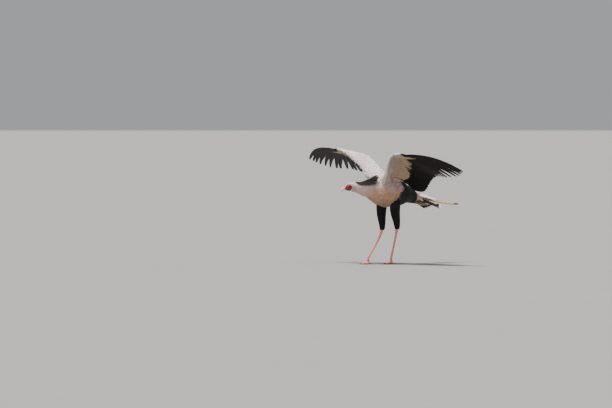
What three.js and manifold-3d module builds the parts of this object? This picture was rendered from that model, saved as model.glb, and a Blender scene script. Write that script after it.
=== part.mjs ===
// A life-size secretary bird, standing with both wings raised and half spread, as a still museum model.
// Units are millimetres. +X is the way the breast faces, +Y is the bird's left, +Z is up.
// The body is laid out round a point on the floor under its middle; the last lines move the whole bird
// so that the origin is the centre of the floor under its outline.
import * as THREE from 'three';
import { mergeVertices } from 'three/addons/utils/BufferGeometryUtils.js';
import Module from 'manifold-3d';

const wasm = await Module();
wasm.setup();

const V = (x, y, z) => new THREE.Vector3(x, y, z);
const GAP = 0.3;
const SIDES = { left: 1, right: -1 };

// Driving dimensions
const WING_ROLL = THREE.MathUtils.degToRad(-3);
const ROLL_AXIS_HEIGHT = 650;
const EYE_RADIUS = 9.5;

// Finishes, one for each kind of surface
const finish = (colour, roughness) => new THREE.MeshStandardMaterial({ color: colour, roughness, metalness: 0 });
const greyPlumage = finish(0xd9d2cc, 0.9);
const blackPlumage = finish(0x17151a, 0.75);
const facialSkin = finish(0xc4383a, 0.6);
const horn = finish(0xb9bcc4, 0.4);
const eyeShine = finish(0x2a1710, 0.1);
const legSkin = finish(0xe08f93, 0.6);
const clawHorn = finish(0x2b2524, 0.4);

const lerp = (a, b, t) => a + (b - a) * t;
const ramp = (low, high, x) => THREE.MathUtils.smoothstep(x, low, high);
const curve = (points) => new THREE.CatmullRomCurve3(points, false, 'centripetal');

// A closed solid from a geometry, whichever way its faces are wound
function solid(geometry) {
  const bare = new THREE.BufferGeometry().setAttribute('position', geometry.getAttribute('position'));
  if (geometry.index) bare.setIndex(geometry.index);
  const merged = mergeVertices(bare, 1e-4);
  const triVerts = new Uint32Array(merged.index.array);
  const build = () => new wasm.Manifold(
    new wasm.Mesh({ numProp: 3, vertProperties: merged.attributes.position.array, triVerts }));
  const made = build();
  if (made.volume() >= 0) return made;
  for (let i = 0; i < triVerts.length; i += 3) {
    [triVerts[i + 1], triVerts[i + 2]] = [triVerts[i + 2], triVerts[i + 1]];
  }
  return build();
}

// The biggest closed body of a solid, which drops loose scraps and fills sealed hollows
function largest(made) {
  return made.decompose().reduce((best, body) => (body.volume() > best.volume() ? body : best));
}

function join(solids) {
  return wasm.Manifold.union(solids);
}

function meshOf(name, made, material) {
  const { numProp, numVert, vertProperties, triVerts } = largest(made).simplify(0.05).getMesh();
  const places = new Float32Array(numVert * 3);
  for (let i = 0; i < numVert; i++) places.set(vertProperties.subarray(i * numProp, i * numProp + 3), i * 3);
  const geometry = new THREE.BufferGeometry()
    .setAttribute('position', new THREE.BufferAttribute(places, 3))
    .setIndex(new THREE.BufferAttribute(new Uint32Array(triVerts), 1));
  geometry.computeVertexNormals();
  const mesh = new THREE.Mesh(geometry, material);
  mesh.name = name;
  return mesh;
}

// A closed skin over rings of equally many points. The far half of a ring is split with the mirrored
// diagonal, so that a thin plate has the same triangles on both faces.
function skin(rings, place = (p) => p) {
  const count = rings[0].length;
  const points = [];
  rings.forEach((ring) => ring.forEach((p) => points.push(place(p))));
  const middle = (ring) => ring.reduce((sum, p) => sum.add(p), V(0, 0, 0)).divideScalar(count);
  const ends = [rings[0], rings[rings.length - 1]].map((ring) => points.push(place(middle(ring))) - 1);
  const index = [];
  for (let r = 0; r < rings.length - 1; r++) {
    for (let j = 0; j < count; j++) {
      const a = r * count + j;
      const b = r * count + ((j + 1) % count);
      const [c, d] = [b + count, a + count];
      if (j < count / 2) index.push(a, b, c, a, c, d);
      else index.push(a, b, d, b, c, d);
    }
  }
  const last = (rings.length - 1) * count;
  for (let j = 0; j < count; j++) {
    const k = (j + 1) % count;
    index.push(ends[0], k, j, ends[1], last + j, last + k);
  }
  const geometry = new THREE.BufferGeometry().setFromPoints(points);
  return solid(geometry.setIndex(index));
}

// A tube of round or oval section along a curve, with its half width, rise and fall read at each step
function tube(path, sizes, steps, sides, up = V(0, 0, 1), grow = 0) {
  const rings = [];
  for (let i = 0; i <= steps; i++) {
    const t = i / steps;
    const centre = path.getPoint(t);
    const along = path.getTangent(t);
    const across = V().crossVectors(up, along).normalize();
    const rise = V().crossVectors(along, across);
    const { x: half, y: above, z: below } = sizes.getPoint(t);
    rings.push(Array.from({ length: sides }, (_, j) => {
      const angle = (2 * Math.PI * j) / sides;
      const height = Math.sin(angle) * ((Math.sin(angle) > 0 ? above : below) + grow);
      return centre.clone().addScaledVector(across, Math.cos(angle) * (half + grow)).addScaledVector(rise, height);
    }));
  }
  return skin(rings);
}

// A feather: its rachis runs through the points of `centre`, `lead` and `trail` are the widths of its two
// vanes, and the ring at each step has a top and a bottom point on either edge and, unless the feather is
// flat, on the rachis
function vane({ steps, centre, outward, normal, lead, trail, tilt, thick, flat = false, place }) {
  const rings = steps.map((t) => {
    const middle = centre(t);
    const side = outward(t);
    const up = normal(t);
    const edge = 0.5 * thick * (flat ? 0.8 : 0.5);
    const mid = Math.max(0.28, 0.5 * thick * (1 - 0.6 * t));
    const at = (y, h) => middle.clone().addScaledVector(side, y).addScaledVector(up, h + y * tilt);
    const [front, back] = [lead(t), -trail(t)];
    if (flat) return [at(front, edge), at(back, edge), at(back, -edge), at(front, -edge)];
    return [at(front, edge), at(0, mid), at(back, edge), at(back, -edge), at(0, -mid), at(front, -edge)];
  });
  return skin(rings, place);
}

// Torso and neck: one spine of oval sections, parted at the neck's base and at the root of the tail
const spinePath = curve([
  V(-395, 0, 532), V(-320, 0, 548), V(-242, 0, 566), V(-165, 0, 583), V(-85, 0, 591), V(0, 0, 595), V(85, 0, 594),
  V(150, 0, 594), V(205, -2, 602), V(250, -9, 613), V(295, -25, 620), V(335, -48, 625), V(372, -72, 630),
]);
const spineSizes = curve([
  V(22, 8, 30), V(38, 18, 56), V(60, 40, 70), V(82, 62, 88), V(100, 88, 112), V(108, 98, 124), V(106, 95, 124),
  V(92, 90, 104), V(73, 79, 84), V(58, 62, 70), V(48, 50, 60), V(40, 42, 50), V(35, 38, 42),
]);
const SPINE_STEPS = 26;
const SPINE_SIDES = 16;
const TAIL_ROOT_X = -232;
const NECK_BASE = { point: V(222, -4, 604), along: V(0.97, -0.12, 0.2).normalize() };
const HEAD_BASE = { point: V(352, -60, 628), along: V(0.86, -0.5, 0.08).normalize() };

const spine = (grow = 0) => tube(spinePath, spineSizes, SPINE_STEPS, SPINE_SIDES, V(0, 0, 1), grow);
const beyond = (made, { point, along }, shift) =>
  made.trimByPlane(along.toArray(), point.dot(along) + shift);
const before = (made, { point, along }, shift) =>
  made.trimByPlane(along.clone().negate().toArray(), -point.dot(along) + shift);
const TAIL_ROOT = { point: V(TAIL_ROOT_X, 0, 570), along: V(1, 0, 0) };

// The wing, described on the left side. Three lines run from inside the shoulder to the end of the hand:
// the leading edge, the bones, and the rear line where the flight feathers come out.
const SHOULDER_TO_HAND = 6;
const leadingLine = curve([
  V(150, 40, 650), V(194, 96, 712), V(212, 134, 780), V(258, 200, 852), V(288, 264, 908),
  V(284, 338, 926), V(278, 400, 922),
]);
const boneLine = curve([
  V(72, 34, 684), V(84, 96, 762), V(108, 182, 852), V(190, 236, 888), V(264, 284, 908),
  V(264, 344, 917), V(264, 398, 917),
]);
const rearLine = curve([
  V(-92, 30, 656), V(-42, 92, 708), V(54, 190, 822), V(150, 248, 860), V(234, 298, 890),
  V(247, 348, 903), V(256, 402, 911),
]);
const armDepths = curve([
  V(50, 34, 0), V(36, 22, 0), V(22, 12, 0), V(17, 9, 0), V(13, 7, 0), V(9, 5, 0), V(5, 3.5, 0),
]);
// Feather tips, every third feather from the outermost primary to the last tertial
const tipLine = curve([
  V(75, 880, 809), V(32, 800, 772), V(5, 640, 748), V(-45, 490, 745), V(-88, 395, 720), V(-118, 330, 680),
  V(-138, 280, 635), V(-150, 235, 605), V(-150, 178, 602), V(-105, 128, 628),
]);
const PRIMARIES = 10;
const SECONDARIES = 12;
const TERTIALS = 4;
const LAST_TIP = 27;
const SHINGLE = Math.tan(THREE.MathUtils.degToRad(7));
const PRIMARY_BOW = V(34, 25, 42);
const SECONDARY_BOW = V(12, 4, 24);

// Where feather `index` leaves the bones: 0 is the outermost primary, whole numbers are feathers
function rootPlace(index) {
  const wrist = PRIMARIES - 0.5;
  const elbow = wrist + SECONDARIES;
  if (index <= wrist) return lerp(5.85, 4.05, index / wrist);
  if (index <= elbow) return lerp(4.05, 2.05, (index - wrist) / SECONDARIES);
  return lerp(2.05, 0.95, (index - elbow) / (TERTIALS + 0.5));
}

// A point on the wing's feathered surface, t of the way along feather `index`
function wingSurface(index, t) {
  const k = rootPlace(index) / SHOULDER_TO_HAND;
  const root = boneLine.getPoint(k).lerp(rearLine.getPoint(k), 0.35);
  const tip = tipLine.getPoint(THREE.MathUtils.clamp(index / LAST_TIP, 0, 1));
  const bow = PRIMARY_BOW.clone().lerp(SECONDARY_BOW, ramp(0, PRIMARIES, index));
  const line = new THREE.QuadraticBezierCurve3(root, root.clone().lerp(tip, 0.5).addScaledVector(bow, 2), tip);
  return line.getPoint(t);
}

// Directions on that surface: along the feather, outward to the next one, and up from its upper side
function wingFrame(index, t) {
  const step = 0.02;
  const along = wingSurface(index, Math.min(1, t + step)).sub(wingSurface(index, Math.max(0, t - step))).normalize();
  const outward = wingSurface(index - 0.5, Math.max(t, 0.15)).sub(wingSurface(index + 0.5, Math.max(t, 0.15)));
  outward.addScaledVector(along, -outward.dot(along)).normalize();
  return { along, outward, up: V().crossVectors(outward, along).normalize() };
}

// One feather of the wing that reaches from `from` to `reach` of the flight feather's length, `lift` above it
function wingFeather({ index, from = 0, reach = 1, lift = 0, lead, trail, pointed = 0.4, thick, steps, flat, place }) {
  const spot = (t) => lerp(from, reach, t);
  const round = (t) => Math.sqrt(Math.max(0, 1 - ramp(0.55, 1, t) * (1 - pointed * pointed)));
  return vane({
    steps,
    centre: (t) => wingSurface(index, spot(t)).addScaledVector(wingFrame(index, spot(t)).up, lift * ramp(-0.4, 0.4, t)),
    outward: (t) => wingFrame(index, spot(t)).outward,
    normal: (t) => wingFrame(index, spot(t)).up,
    lead: (t) => lead * round(t) * lerp(0.5, 1, ramp(0, 0.3, t)),
    trail: (t) => trail * round(t) * lerp(0.4, 1, ramp(0, 0.3, t)),
    tilt: SHINGLE,
    thick,
    flat,
    place,
  });
}

// The flesh of the arm and hand under the feathers
function armFlesh(place) {
  const steps = 9;
  const rings = [];
  for (let i = 0; i <= steps; i++) {
    const t = i / steps;
    const [front, bone, rear] = [leadingLine, boneLine, rearLine].map((line) => line.getPoint(t));
    const up = V().crossVectors(boneLine.getTangent(t), rear.clone().sub(front)).normalize();
    const { x: above, y: below } = armDepths.getPoint(t);
    const mix = (a, b, share, height) => a.clone().lerp(b, share).addScaledVector(up, height);
    rings.push([
      mix(front, bone, 0.02, below * 0.25), mix(front, bone, 0.4, above * 0.78), mix(bone, rear, 0, above),
      mix(bone, rear, 0.6, above * 0.62), mix(bone, rear, 1, 1.6), mix(bone, rear, 1, -1.6),
      mix(bone, rear, 0, -below), mix(front, bone, 0.4, -below * 0.6), mix(front, bone, 0.02, -below * 0.35),
    ]);
  }
  return skin(rings, place);
}

// Flight feathers and the tiers of coverts over and under them
function wingVanes(place) {
  const made = [];
  const long = [0, 0.32, 0.82, 1];
  const middling = [0, 0.45, 1];
  const short = [0, 0.7, 1];
  const total = PRIMARIES + SECONDARIES + TERTIALS;
  for (let i = 0; i < total; i++) {
    const primary = i < PRIMARIES;
    const outer = ramp(0, PRIMARIES, i);
    made.push(wingFeather({
      index: i, lead: lerp(11, 17, outer), trail: lerp(21, 31, outer), pointed: primary ? 0.3 : 0.62,
      thick: 2.6, steps: primary ? long : middling, flat: !primary, place,
    }));
  }
  const tier = (first, last, count, size) => {
    for (let i = 0; i < count; i++) {
      made.push(wingFeather({ index: lerp(first, last, i / (count - 1)), steps: short, flat: true, place, ...size }));
    }
  };
  const secondary = PRIMARIES + 0.2;
  const end = total - 1.3;
  tier(0.4, PRIMARIES - 1, 5, { reach: 0.33, lift: 5, lead: 15, trail: 23, thick: 1.8 });
  tier(0.6, PRIMARIES - 1, 3, { reach: 0.3, lift: -5, lead: 17, trail: 24, thick: 1.8 });
  tier(secondary, end, 4, { reach: 0.42, lift: -5, lead: 32, trail: 50, thick: 1.8, pointed: 0.6 });
  tier(secondary, end, 7, { reach: 0.46, lift: 5, lead: 23, trail: 35, thick: 1.8, pointed: 0.6 });
  tier(secondary + 0.5, end, 4, { reach: 0.26, lift: 11, lead: 28, trail: 40, thick: 1.8, pointed: 0.6 });
  return made;
}

// A whole wing, parted at the wrist into the arm with its secondaries and the hand with its primaries
function wing(side, body) {
  const roll = new THREE.Matrix4().makeTranslation(0, 0, ROLL_AXIS_HEIGHT)
    .multiply(new THREE.Matrix4().makeRotationX(WING_ROLL))
    .multiply(new THREE.Matrix4().makeTranslation(0, 0, -ROLL_AXIS_HEIGHT))
    .multiply(new THREE.Matrix4().makeScale(1, SIDES[side], 1));
  const place = (p) => p.clone().applyMatrix4(roll);
  const whole = join([armFlesh(place), ...wingVanes(place)]).subtract(body)
    .trimByPlane([0, SIDES[side], 0], GAP / 2);

  // The cut follows the gap between the innermost primary and the outermost secondary
  const seam = PRIMARIES - 0.5;
  const sheet = (offset) => {
    const rows = [];
    for (let i = 0; i <= 8; i++) {
      const t = lerp(-0.3, 1.3, i / 8);
      const inside = THREE.MathUtils.clamp(t, 0, 1);
      const { along, outward, up } = wingFrame(seam, inside);
      const spot = wingSurface(seam, inside).addScaledVector(along, (t - inside) * 400);
      const corner = (w, h) => spot.clone().addScaledVector(outward, w).addScaledVector(up, h);
      rows.push([corner(offset, 60), corner(offset, -60), corner(offset + 900, -60), corner(offset + 900, 60)]);
    }
    return skin(rows, place);
  };
  return {
    hand: whole.intersect(sheet(GAP / 2)),
    arm: whole.subtract(sheet(-GAP / 2)),
  };
}

// Tail: a short fleshy root, twelve feathers of which the middle two are very long, and coverts
const TAIL_PAIRS = 6;
const LONG_TIP = V(-823, 12, 481);

function tailFeather(pair, side) {
  const out = pair / (TAIL_PAIRS - 1);
  const long = pair === 0;
  const root = V(-246, side * lerp(5, 24, out), lerp(573, 562, out));
  const tip = long ? V(LONG_TIP.x, side * LONG_TIP.y, LONG_TIP.z + side * 2)
    : V(lerp(-575, -500, out), side * lerp(16, 92, out), lerp(478, 455, out));
  const line = new THREE.QuadraticBezierCurve3(root, root.clone().lerp(tip, 0.5).add(V(0, 0, long ? -30 : lerp(-24, 6, out))), tip);
  const width = long ? 17 : 20;
  return vane({
    steps: long ? [0, 0.25, 0.6, 0.94, 1] : [0, 0.4, 0.9, 1],
    flat: !long,
    centre: (t) => line.getPoint(t),
    outward: () => V(0, side, 0),
    normal: () => V(0.2, 0, 1).normalize(),
    lead: (t) => width * lerp(0.4, 1, ramp(0, 0.3, t)) * (t < 1 ? 1 : 0.4),
    trail: (t) => width * lerp(0.4, 1, ramp(0, 0.3, t)) * (t < 1 ? 1 : 0.4),
    tilt: long ? -0.4 : -0.12,
    thick: 2.4,
  });
}

function tailCovert(out, reach, height, under) {
  const root = V(-250, out * 20, 568 + (under ? -10 : 6));
  const tip = V(-250 - reach, out * 46, height - 8 * Math.abs(out));
  const bow = V(0, 0, under ? -20 : 8);
  const line = new THREE.QuadraticBezierCurve3(root, root.clone().lerp(tip, 0.5).add(bow), tip);
  return vane({
    steps: [0, 0.7, 1],
    flat: true,
    centre: (t) => line.getPoint(t),
    outward: () => V(0, 1, 0),
    normal: () => V(0.2, 0, 1).normalize(),
    lead: (t) => 17 * (t < 1 ? lerp(0.6, 1, t) : 0.5),
    trail: (t) => 17 * (t < 1 ? lerp(0.6, 1, t) : 0.5),
    tilt: 0,
    thick: 2,
  });
}

function tail() {
  const made = [before(spine(), TAIL_ROOT, GAP / 2)];
  for (let pair = 0; pair < TAIL_PAIRS; pair++) made.push(tailFeather(pair, 1), tailFeather(pair, -1));
  for (const out of [-1, 0, 1]) {
    made.push(tailCovert(out, 200, 547, false), tailCovert(out, 165, 482, true));
  }
  return beyond(join(made), { point: TAIL_ROOT.point, along: V(-1, 0, 0) }, GAP / 2);
}

// Head, in its own frame: x to the bill, y left, z up, from a point between the eyes
const HEAD_PLACE = new THREE.Matrix4().makeTranslation(390, -86, 634)
  .multiply(new THREE.Matrix4().makeRotationZ(THREE.MathUtils.degToRad(-27)))
  .multiply(new THREE.Matrix4().makeRotationY(THREE.MathUtils.degToRad(14)));
const onHead = (p) => p.clone().applyMatrix4(HEAD_PLACE);
const EYE_CENTRE = V(20, 20, 3);
const BILL_BASE_X = 45;

const headTube = (points, sizes, steps, sides) =>
  tube(curve(points.map(onHead)), curve(sizes), steps, sides);

function ball(radius, centre, scale = V(1, 1, 1), across = 12, down = 7) {
  const geometry = new THREE.SphereGeometry(radius, across, down);
  return solid(geometry.scale(scale.x, scale.y, scale.z).translate(centre.x, centre.y, centre.z).applyMatrix4(HEAD_PLACE));
}

const upperBill = (grow = 0) => headTube(
  [V(40, 0, 3), V(56, 0, 2), V(69, 0, -2), V(79, 0, -10), V(84, 0, -19), V(84.5, 0, -25)],
  [V(13 + grow, 14 + grow, 7 + grow), V(10.5 + grow, 11.5 + grow, 6 + grow), V(8 + grow, 8.5 + grow, 5.5 + grow),
    V(5.2 + grow, 5.6 + grow, 5 + grow), V(2.4 + grow, 2.8 + grow, 2.8 + grow), V(0.7 + grow, 0.8 + grow, 0.8 + grow)],
  10, 12);
const lowerBill = (grow = 0) => headTube(
  [V(38, 0, -8), V(54, 0, -8.5), V(66, 0, -11), V(74.5, 0, -14.5)],
  [V(11.5 + grow, 5 + grow, 8 + grow), V(9 + grow, 5 + grow, 6.5 + grow), V(6 + grow, 4.6 + grow, 4.8 + grow),
    V(1.8 + grow, 1.5 + grow, 1.5 + grow)],
  6, 12);

const billPlane = { point: onHead(V(BILL_BASE_X, 0, 0)), along: V(1, 0, 0).transformDirection(HEAD_PLACE) };

// A plume of the crest: a thin quill that widens into a blunt blade
function plume(root, tip, lift, width) {
  const line = new THREE.QuadraticBezierCurve3(root, root.clone().lerp(tip, 0.45).add(V(0, 0, lift)), tip);
  return vane({
    steps: [0, 0.45, 0.82, 1],
    flat: true,
    centre: (t) => line.getPoint(t),
    outward: () => V(0.35, 0.94, 0),
    normal: () => V(0.2, 0, 1).normalize(),
    lead: (t) => width * [0.3, 0.55, 1, 0.4][Math.round(t * 3 - 0.1)],
    trail: (t) => width * [0.3, 0.55, 1, 0.4][Math.round(t * 3 - 0.1)],
    tilt: 0,
    thick: 1.8,
  });
}

function crest() {
  const made = [];
  const rows = [
    { roots: [V(-18, 0, 28), V(-18, 11, 26), V(-18, -11, 26)], back: 190, rise: 718, spread: 14 },
    { roots: [V(-24, 6, 30), V(-24, -6, 30), V(-23, 17, 23), V(-23, -17, 23)], back: 192, rise: 706, spread: 14 },
    { roots: [V(-27, 0, 26), V(-26, 12, 22), V(-26, -12, 22)], back: 145, rise: 696, spread: 18 },
  ];
  rows.forEach(({ roots, back, rise, spread }) => roots.forEach((place, i) => {
    const root = onHead(place);
    const side = place.y / 12;
    const tip = V(root.x - back + 9 * i, lerp(root.y, -16, 0.7) + side * spread, rise - 5 * Math.abs(side));
    made.push(plume(root, tip, 8, 10));
  }));
  return made;
}

function head() {
  const skull = headTube(
    [V(-42, 0, -3), V(-30, 0, 0), V(-14, 0, 2), V(4, 0, 2), V(20, 0, 1), V(34, 0, 0), V(46, 0, -1), V(56, 0, -3)],
    [V(34, 36, 39), V(31, 34, 38), V(29, 33, 36), V(29, 32, 34), V(27, 29, 30), V(21, 23, 24), V(14, 17, 16),
      V(11, 12, 12)],
    10, 16);
  const lids = [1, -1].map((side) => ball(EYE_RADIUS + 2.2, V(EYE_CENTRE.x, side * EYE_CENTRE.y, EYE_CENTRE.z)));
  const sockets = [1, -1].flatMap((side) => [
    ball(EYE_RADIUS + GAP, V(EYE_CENTRE.x, side * EYE_CENTRE.y, EYE_CENTRE.z)),
    ball(7.8, V(EYE_CENTRE.x, side * (EYE_CENTRE.y + 10.6), EYE_CENTRE.z - 0.5), V(1.05, 1, 0.82), 10, 6),
  ]);
  const mouth = [1, -1].map((side) => headTube(
    [V(48, side * 12.6, -5), V(37, side * 18.4, -6.5), V(22, side * 24.8, -9)],
    [V(1.4, 0.8, 0.8), V(1.2, 0.8, 0.8), V(0.5, 0.4, 0.4)], 4, 6));
  const bare = before(beyond(join([skull, ...lids]), HEAD_BASE, GAP / 2), billPlane, GAP / 2);
  const neckClearance = before(spine(GAP), HEAD_BASE, -GAP / 2);
  return join([bare.subtract(join([...sockets, ...mouth])), join(crest()).subtract(neckClearance)]);
}

function bill() {
  const nostrils = [1, -1].map((side) => ball(2, V(53, side * 10.6, 6.5), V(1.6, 0.8, 0.7), 10, 6));
  const front = (made) => beyond(made, billPlane, GAP / 2);
  return {
    upper: front(upperBill()).subtract(join(nostrils)),
    lower: front(lowerBill()).subtract(front(upperBill(GAP))),
  };
}

// Legs: feathered shank, bare tarsus, foot with three front toes and a short hind toe
const LEGS = {
  left: { hip: V(12, 58, 520), ankle: V(-10, 60, 300), foot: V(10, 12, 0), turn: 4 },
  right: { hip: V(46, -58, 520), ankle: V(40, -62, 276), foot: V(188, -78, 0), turn: -8 },
};
const SHANK_END = 12;
const FOOT_TOP = 30;
const TOES = {
  middle: { angle: 2, length: 74, half: 8.5 },
  inner: { angle: -32, length: 54, half: 8 },
  outer: { angle: 34, length: 58, half: 8 },
  hind: { angle: 176, length: 30, half: 7 },
};
const ankleLine = ({ ankle, foot }) => foot.clone().setZ(FOOT_TOP).sub(ankle).normalize();

function shank({ hip, ankle }) {
  const line = curve([hip, hip.clone().lerp(ankle, 0.4).add(V(6, 0, 0)), hip.clone().lerp(ankle, 0.8), ankle]);
  const sizes = curve([V(44, 56, 50), V(36, 46, 42), V(26, 30, 28), V(17, 18, 18)]);
  return tube(line, sizes, 7, 12, V(1, 0, 0));
}

function tarsus({ ankle, foot }) {
  const down = ankle.clone().sub(foot.clone().setZ(FOOT_TOP)).normalize();
  const line = curve([
    ankle.clone().addScaledVector(down, 6), ankle.clone().addScaledVector(down, -22),
    ankle.clone().lerp(foot.clone().setZ(FOOT_TOP), 0.5), foot.clone().setZ(FOOT_TOP + 20), foot.clone().setZ(FOOT_TOP - 8),
  ]);
  const sizes = curve([V(11, 13, 12), V(10, 12, 12), V(7.6, 8.8, 8.8), V(8.2, 9.6, 9.6), V(10, 11, 11)]);
  return tube(line, sizes, 8, 10, V(1, 0, 0));
}

const toeLine = ({ foot, turn }, { angle, length }, side) => {
  const heading = THREE.MathUtils.degToRad(turn + side * angle);
  const ahead = V(Math.cos(heading), Math.sin(heading), 0);
  return { ahead, at: (reach, height) => foot.clone().addScaledVector(ahead, reach * length).setZ(height) };
};

function footSolid(leg, side) {
  const toes = Object.values(TOES).map((toe) => {
    const { at } = toeLine(leg, toe, side);
    const sizes = curve([V(toe.half + 2, 10, 9), V(toe.half, 8, 9), V(toe.half * 0.86, 7, 8), V(toe.half * 0.6, 5.5, 6)]);
    return tube(curve([at(-0.12, 14), at(0.3, 9.5), at(0.7, 7), at(1, 6)]), sizes, 3, 7);
  });
  const pad = tube(curve([leg.foot.clone().setZ(FOOT_TOP), leg.foot.clone().setZ(12), leg.foot.clone().setZ(-4)]),
    curve([V(10.4, 11.4, 11.4), V(13, 14, 14), V(14, 15, 15)]), 3, 8, V(1, 0, 0));
  return join([...toes, pad]).trimByPlane([0, 0, 1], 0).trimByPlane([0, 0, -1], -(FOOT_TOP - GAP / 2));
}

function claw(leg, toe, side) {
  const { at } = toeLine(leg, toe, side);
  const size = toe.half * 0.5;
  const line = curve([at(0.93, 6.5), at(1, 7).setZ(7), at(1, 5).addScaledVector(toeLine(leg, toe, side).ahead, 9),
    at(1, 1.6).addScaledVector(toeLine(leg, toe, side).ahead, 16)]);
  const sizes = curve([V(size, size, size), V(size, size, size), V(size * 0.7, size * 0.7, size * 0.7), V(0.5, 0.5, 0.5)]);
  return tube(line, sizes, 4, 6);
}

const bird = new THREE.Group();
const add = (name, made, material) => bird.add(meshOf(name, made, material));
const core = spine();
const bodyClearance = spine(GAP);
add('torso', before(beyond(core, TAIL_ROOT, GAP / 2), NECK_BASE, GAP / 2), greyPlumage);
add('neck', before(beyond(core, NECK_BASE, GAP / 2), HEAD_BASE, GAP / 2), greyPlumage);
add('tail', tail(), greyPlumage);
add('head', head(), facialSkin);
const bills = bill();
add('bill_upper', bills.upper, horn);
add('bill_lower', bills.lower, horn);
for (const [name, side] of Object.entries(SIDES)) {
  add(`eye_${name}`, ball(EYE_RADIUS, V(EYE_CENTRE.x, side * EYE_CENTRE.y, EYE_CENTRE.z)), eyeShine);
  const parts = wing(name, bodyClearance);
  add(`wing_${name}_arm`, parts.arm, greyPlumage);
  add(`wing_${name}_hand`, parts.hand, blackPlumage);
  const leg = LEGS[name];
  const cut = { point: leg.ankle.clone().addScaledVector(ankleLine(leg), -SHANK_END), along: ankleLine(leg) };
  add(`shank_${name}`, before(shank(leg), cut, GAP / 2).subtract(bodyClearance), blackPlumage);
  const lower = beyond(tarsus(leg), cut, GAP / 2).trimByPlane([0, 0, 1], FOOT_TOP + GAP / 2);
  add(`tarsus_${name}`, lower, legSkin);
  const sole = footSolid(leg, side);
  const toes = Object.entries(TOES).map(([toe, sizes]) => [toe, claw(leg, sizes, side)]);
  add(`foot_${name}`, sole.subtract(join(toes.map(([, made]) => made))), legSkin);
  toes.forEach(([toe, made]) => add(`claw_${name}_${toe}`, made, clawHorn));
}

const outline = new THREE.Box3().setFromObject(bird);
const base = outline.getCenter(V(0, 0, 0)).setZ(outline.min.z);
bird.children.forEach((mesh) => mesh.geometry.translate(-base.x, -base.y, -base.z));

export default bird;
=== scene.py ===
"""A life-size secretary bird, standing with raised, half-spread wings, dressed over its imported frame.

Every place is worked out in the bird's own layout, which has its origin on the floor under the middle of
the body, +X the way the breast faces, +Y the bird's left and +Z up, in metres. `Layout` moves a finished
piece from there into the frame.
"""
import logging
import math
from collections.abc import Callable, Sequence
from dataclasses import dataclass, field
from enum import Enum

import bmesh
import bpy
import numpy as np
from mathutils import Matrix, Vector
from mathutils.bvhtree import BVHTree
from mathutils.kdtree import KDTree


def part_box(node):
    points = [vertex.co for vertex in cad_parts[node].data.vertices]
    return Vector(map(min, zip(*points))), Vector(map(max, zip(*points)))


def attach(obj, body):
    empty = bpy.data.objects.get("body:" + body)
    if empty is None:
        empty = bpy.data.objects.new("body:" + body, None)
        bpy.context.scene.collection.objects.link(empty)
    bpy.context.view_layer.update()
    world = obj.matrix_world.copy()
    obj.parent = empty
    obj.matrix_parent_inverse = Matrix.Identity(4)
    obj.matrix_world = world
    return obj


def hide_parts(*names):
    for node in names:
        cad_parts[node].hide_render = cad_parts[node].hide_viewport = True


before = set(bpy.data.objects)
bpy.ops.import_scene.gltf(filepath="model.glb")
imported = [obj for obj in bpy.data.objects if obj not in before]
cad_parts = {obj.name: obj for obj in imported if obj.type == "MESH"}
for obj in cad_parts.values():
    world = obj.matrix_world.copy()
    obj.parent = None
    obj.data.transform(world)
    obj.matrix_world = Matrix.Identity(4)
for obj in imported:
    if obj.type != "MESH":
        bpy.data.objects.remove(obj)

log = logging.getLogger("secretary_bird")
Array = np.ndarray
MM = 0.001
TAU = 2 * math.pi
UP = np.array([0.0, 0.0, 1.0])
SEED = 41


def unit(v: Array) -> Array:
    """Scales vectors in the last axis to a length of one."""
    return v / np.maximum(np.linalg.norm(v, axis=-1, keepdims=True), 1e-12)


def ramp(low: float, high: float, x: Array | float) -> Array | float:
    """Rises smoothly from 0 at `low` to 1 at `high`."""
    t = np.clip((np.asarray(x, float) - low) / (high - low), 0, 1)
    return t * t * (3 - 2 * t)


def mix(a: Array | float, b: Array | float, t: Array | float) -> Array | float:
    """Goes from `a` to `b` as `t` goes from 0 to 1."""
    return a + (b - a) * t


@dataclass(frozen=True)
class Spline:
    """A centripetal Catmull-Rom curve through points given in millimetres."""

    points: tuple[tuple[float, ...], ...]

    def at(self, t: Array | float) -> Array:
        """Gives points on the curve.

        Args:
            t: places along it, each 0 at the first point and 1 at the last.

        Returns:
            The points in metres, one row for each place.
        """
        knots = np.array(self.points, float) * MM
        knots = np.vstack([2 * knots[0] - knots[1], knots, 2 * knots[-1] - knots[-2]])
        spot = np.clip(np.atleast_1d(np.asarray(t, float)), 0, 1) * (len(self.points) - 1)
        span = np.minimum(spot.astype(int), len(self.points) - 2)
        w = (spot - span)[:, None]
        a, b, c, d = (knots[span + k] for k in range(4))
        d0, d1, d2 = (np.sqrt(np.linalg.norm(q - p, axis=1, keepdims=True)) + 1e-9
                      for p, q in ((a, b), (b, c), (c, d)))
        first = ((b - a) / d0 - (c - a) / (d0 + d1) + (c - b) / d1) * d1
        last = ((c - b) / d1 - (d - b) / (d1 + d2) + (d - c) / d2) * d1
        return (b + first * w + (3 * (c - b) - 2 * first - last) * w**2
                + (2 * (b - c) + first + last) * w**3)


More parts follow.
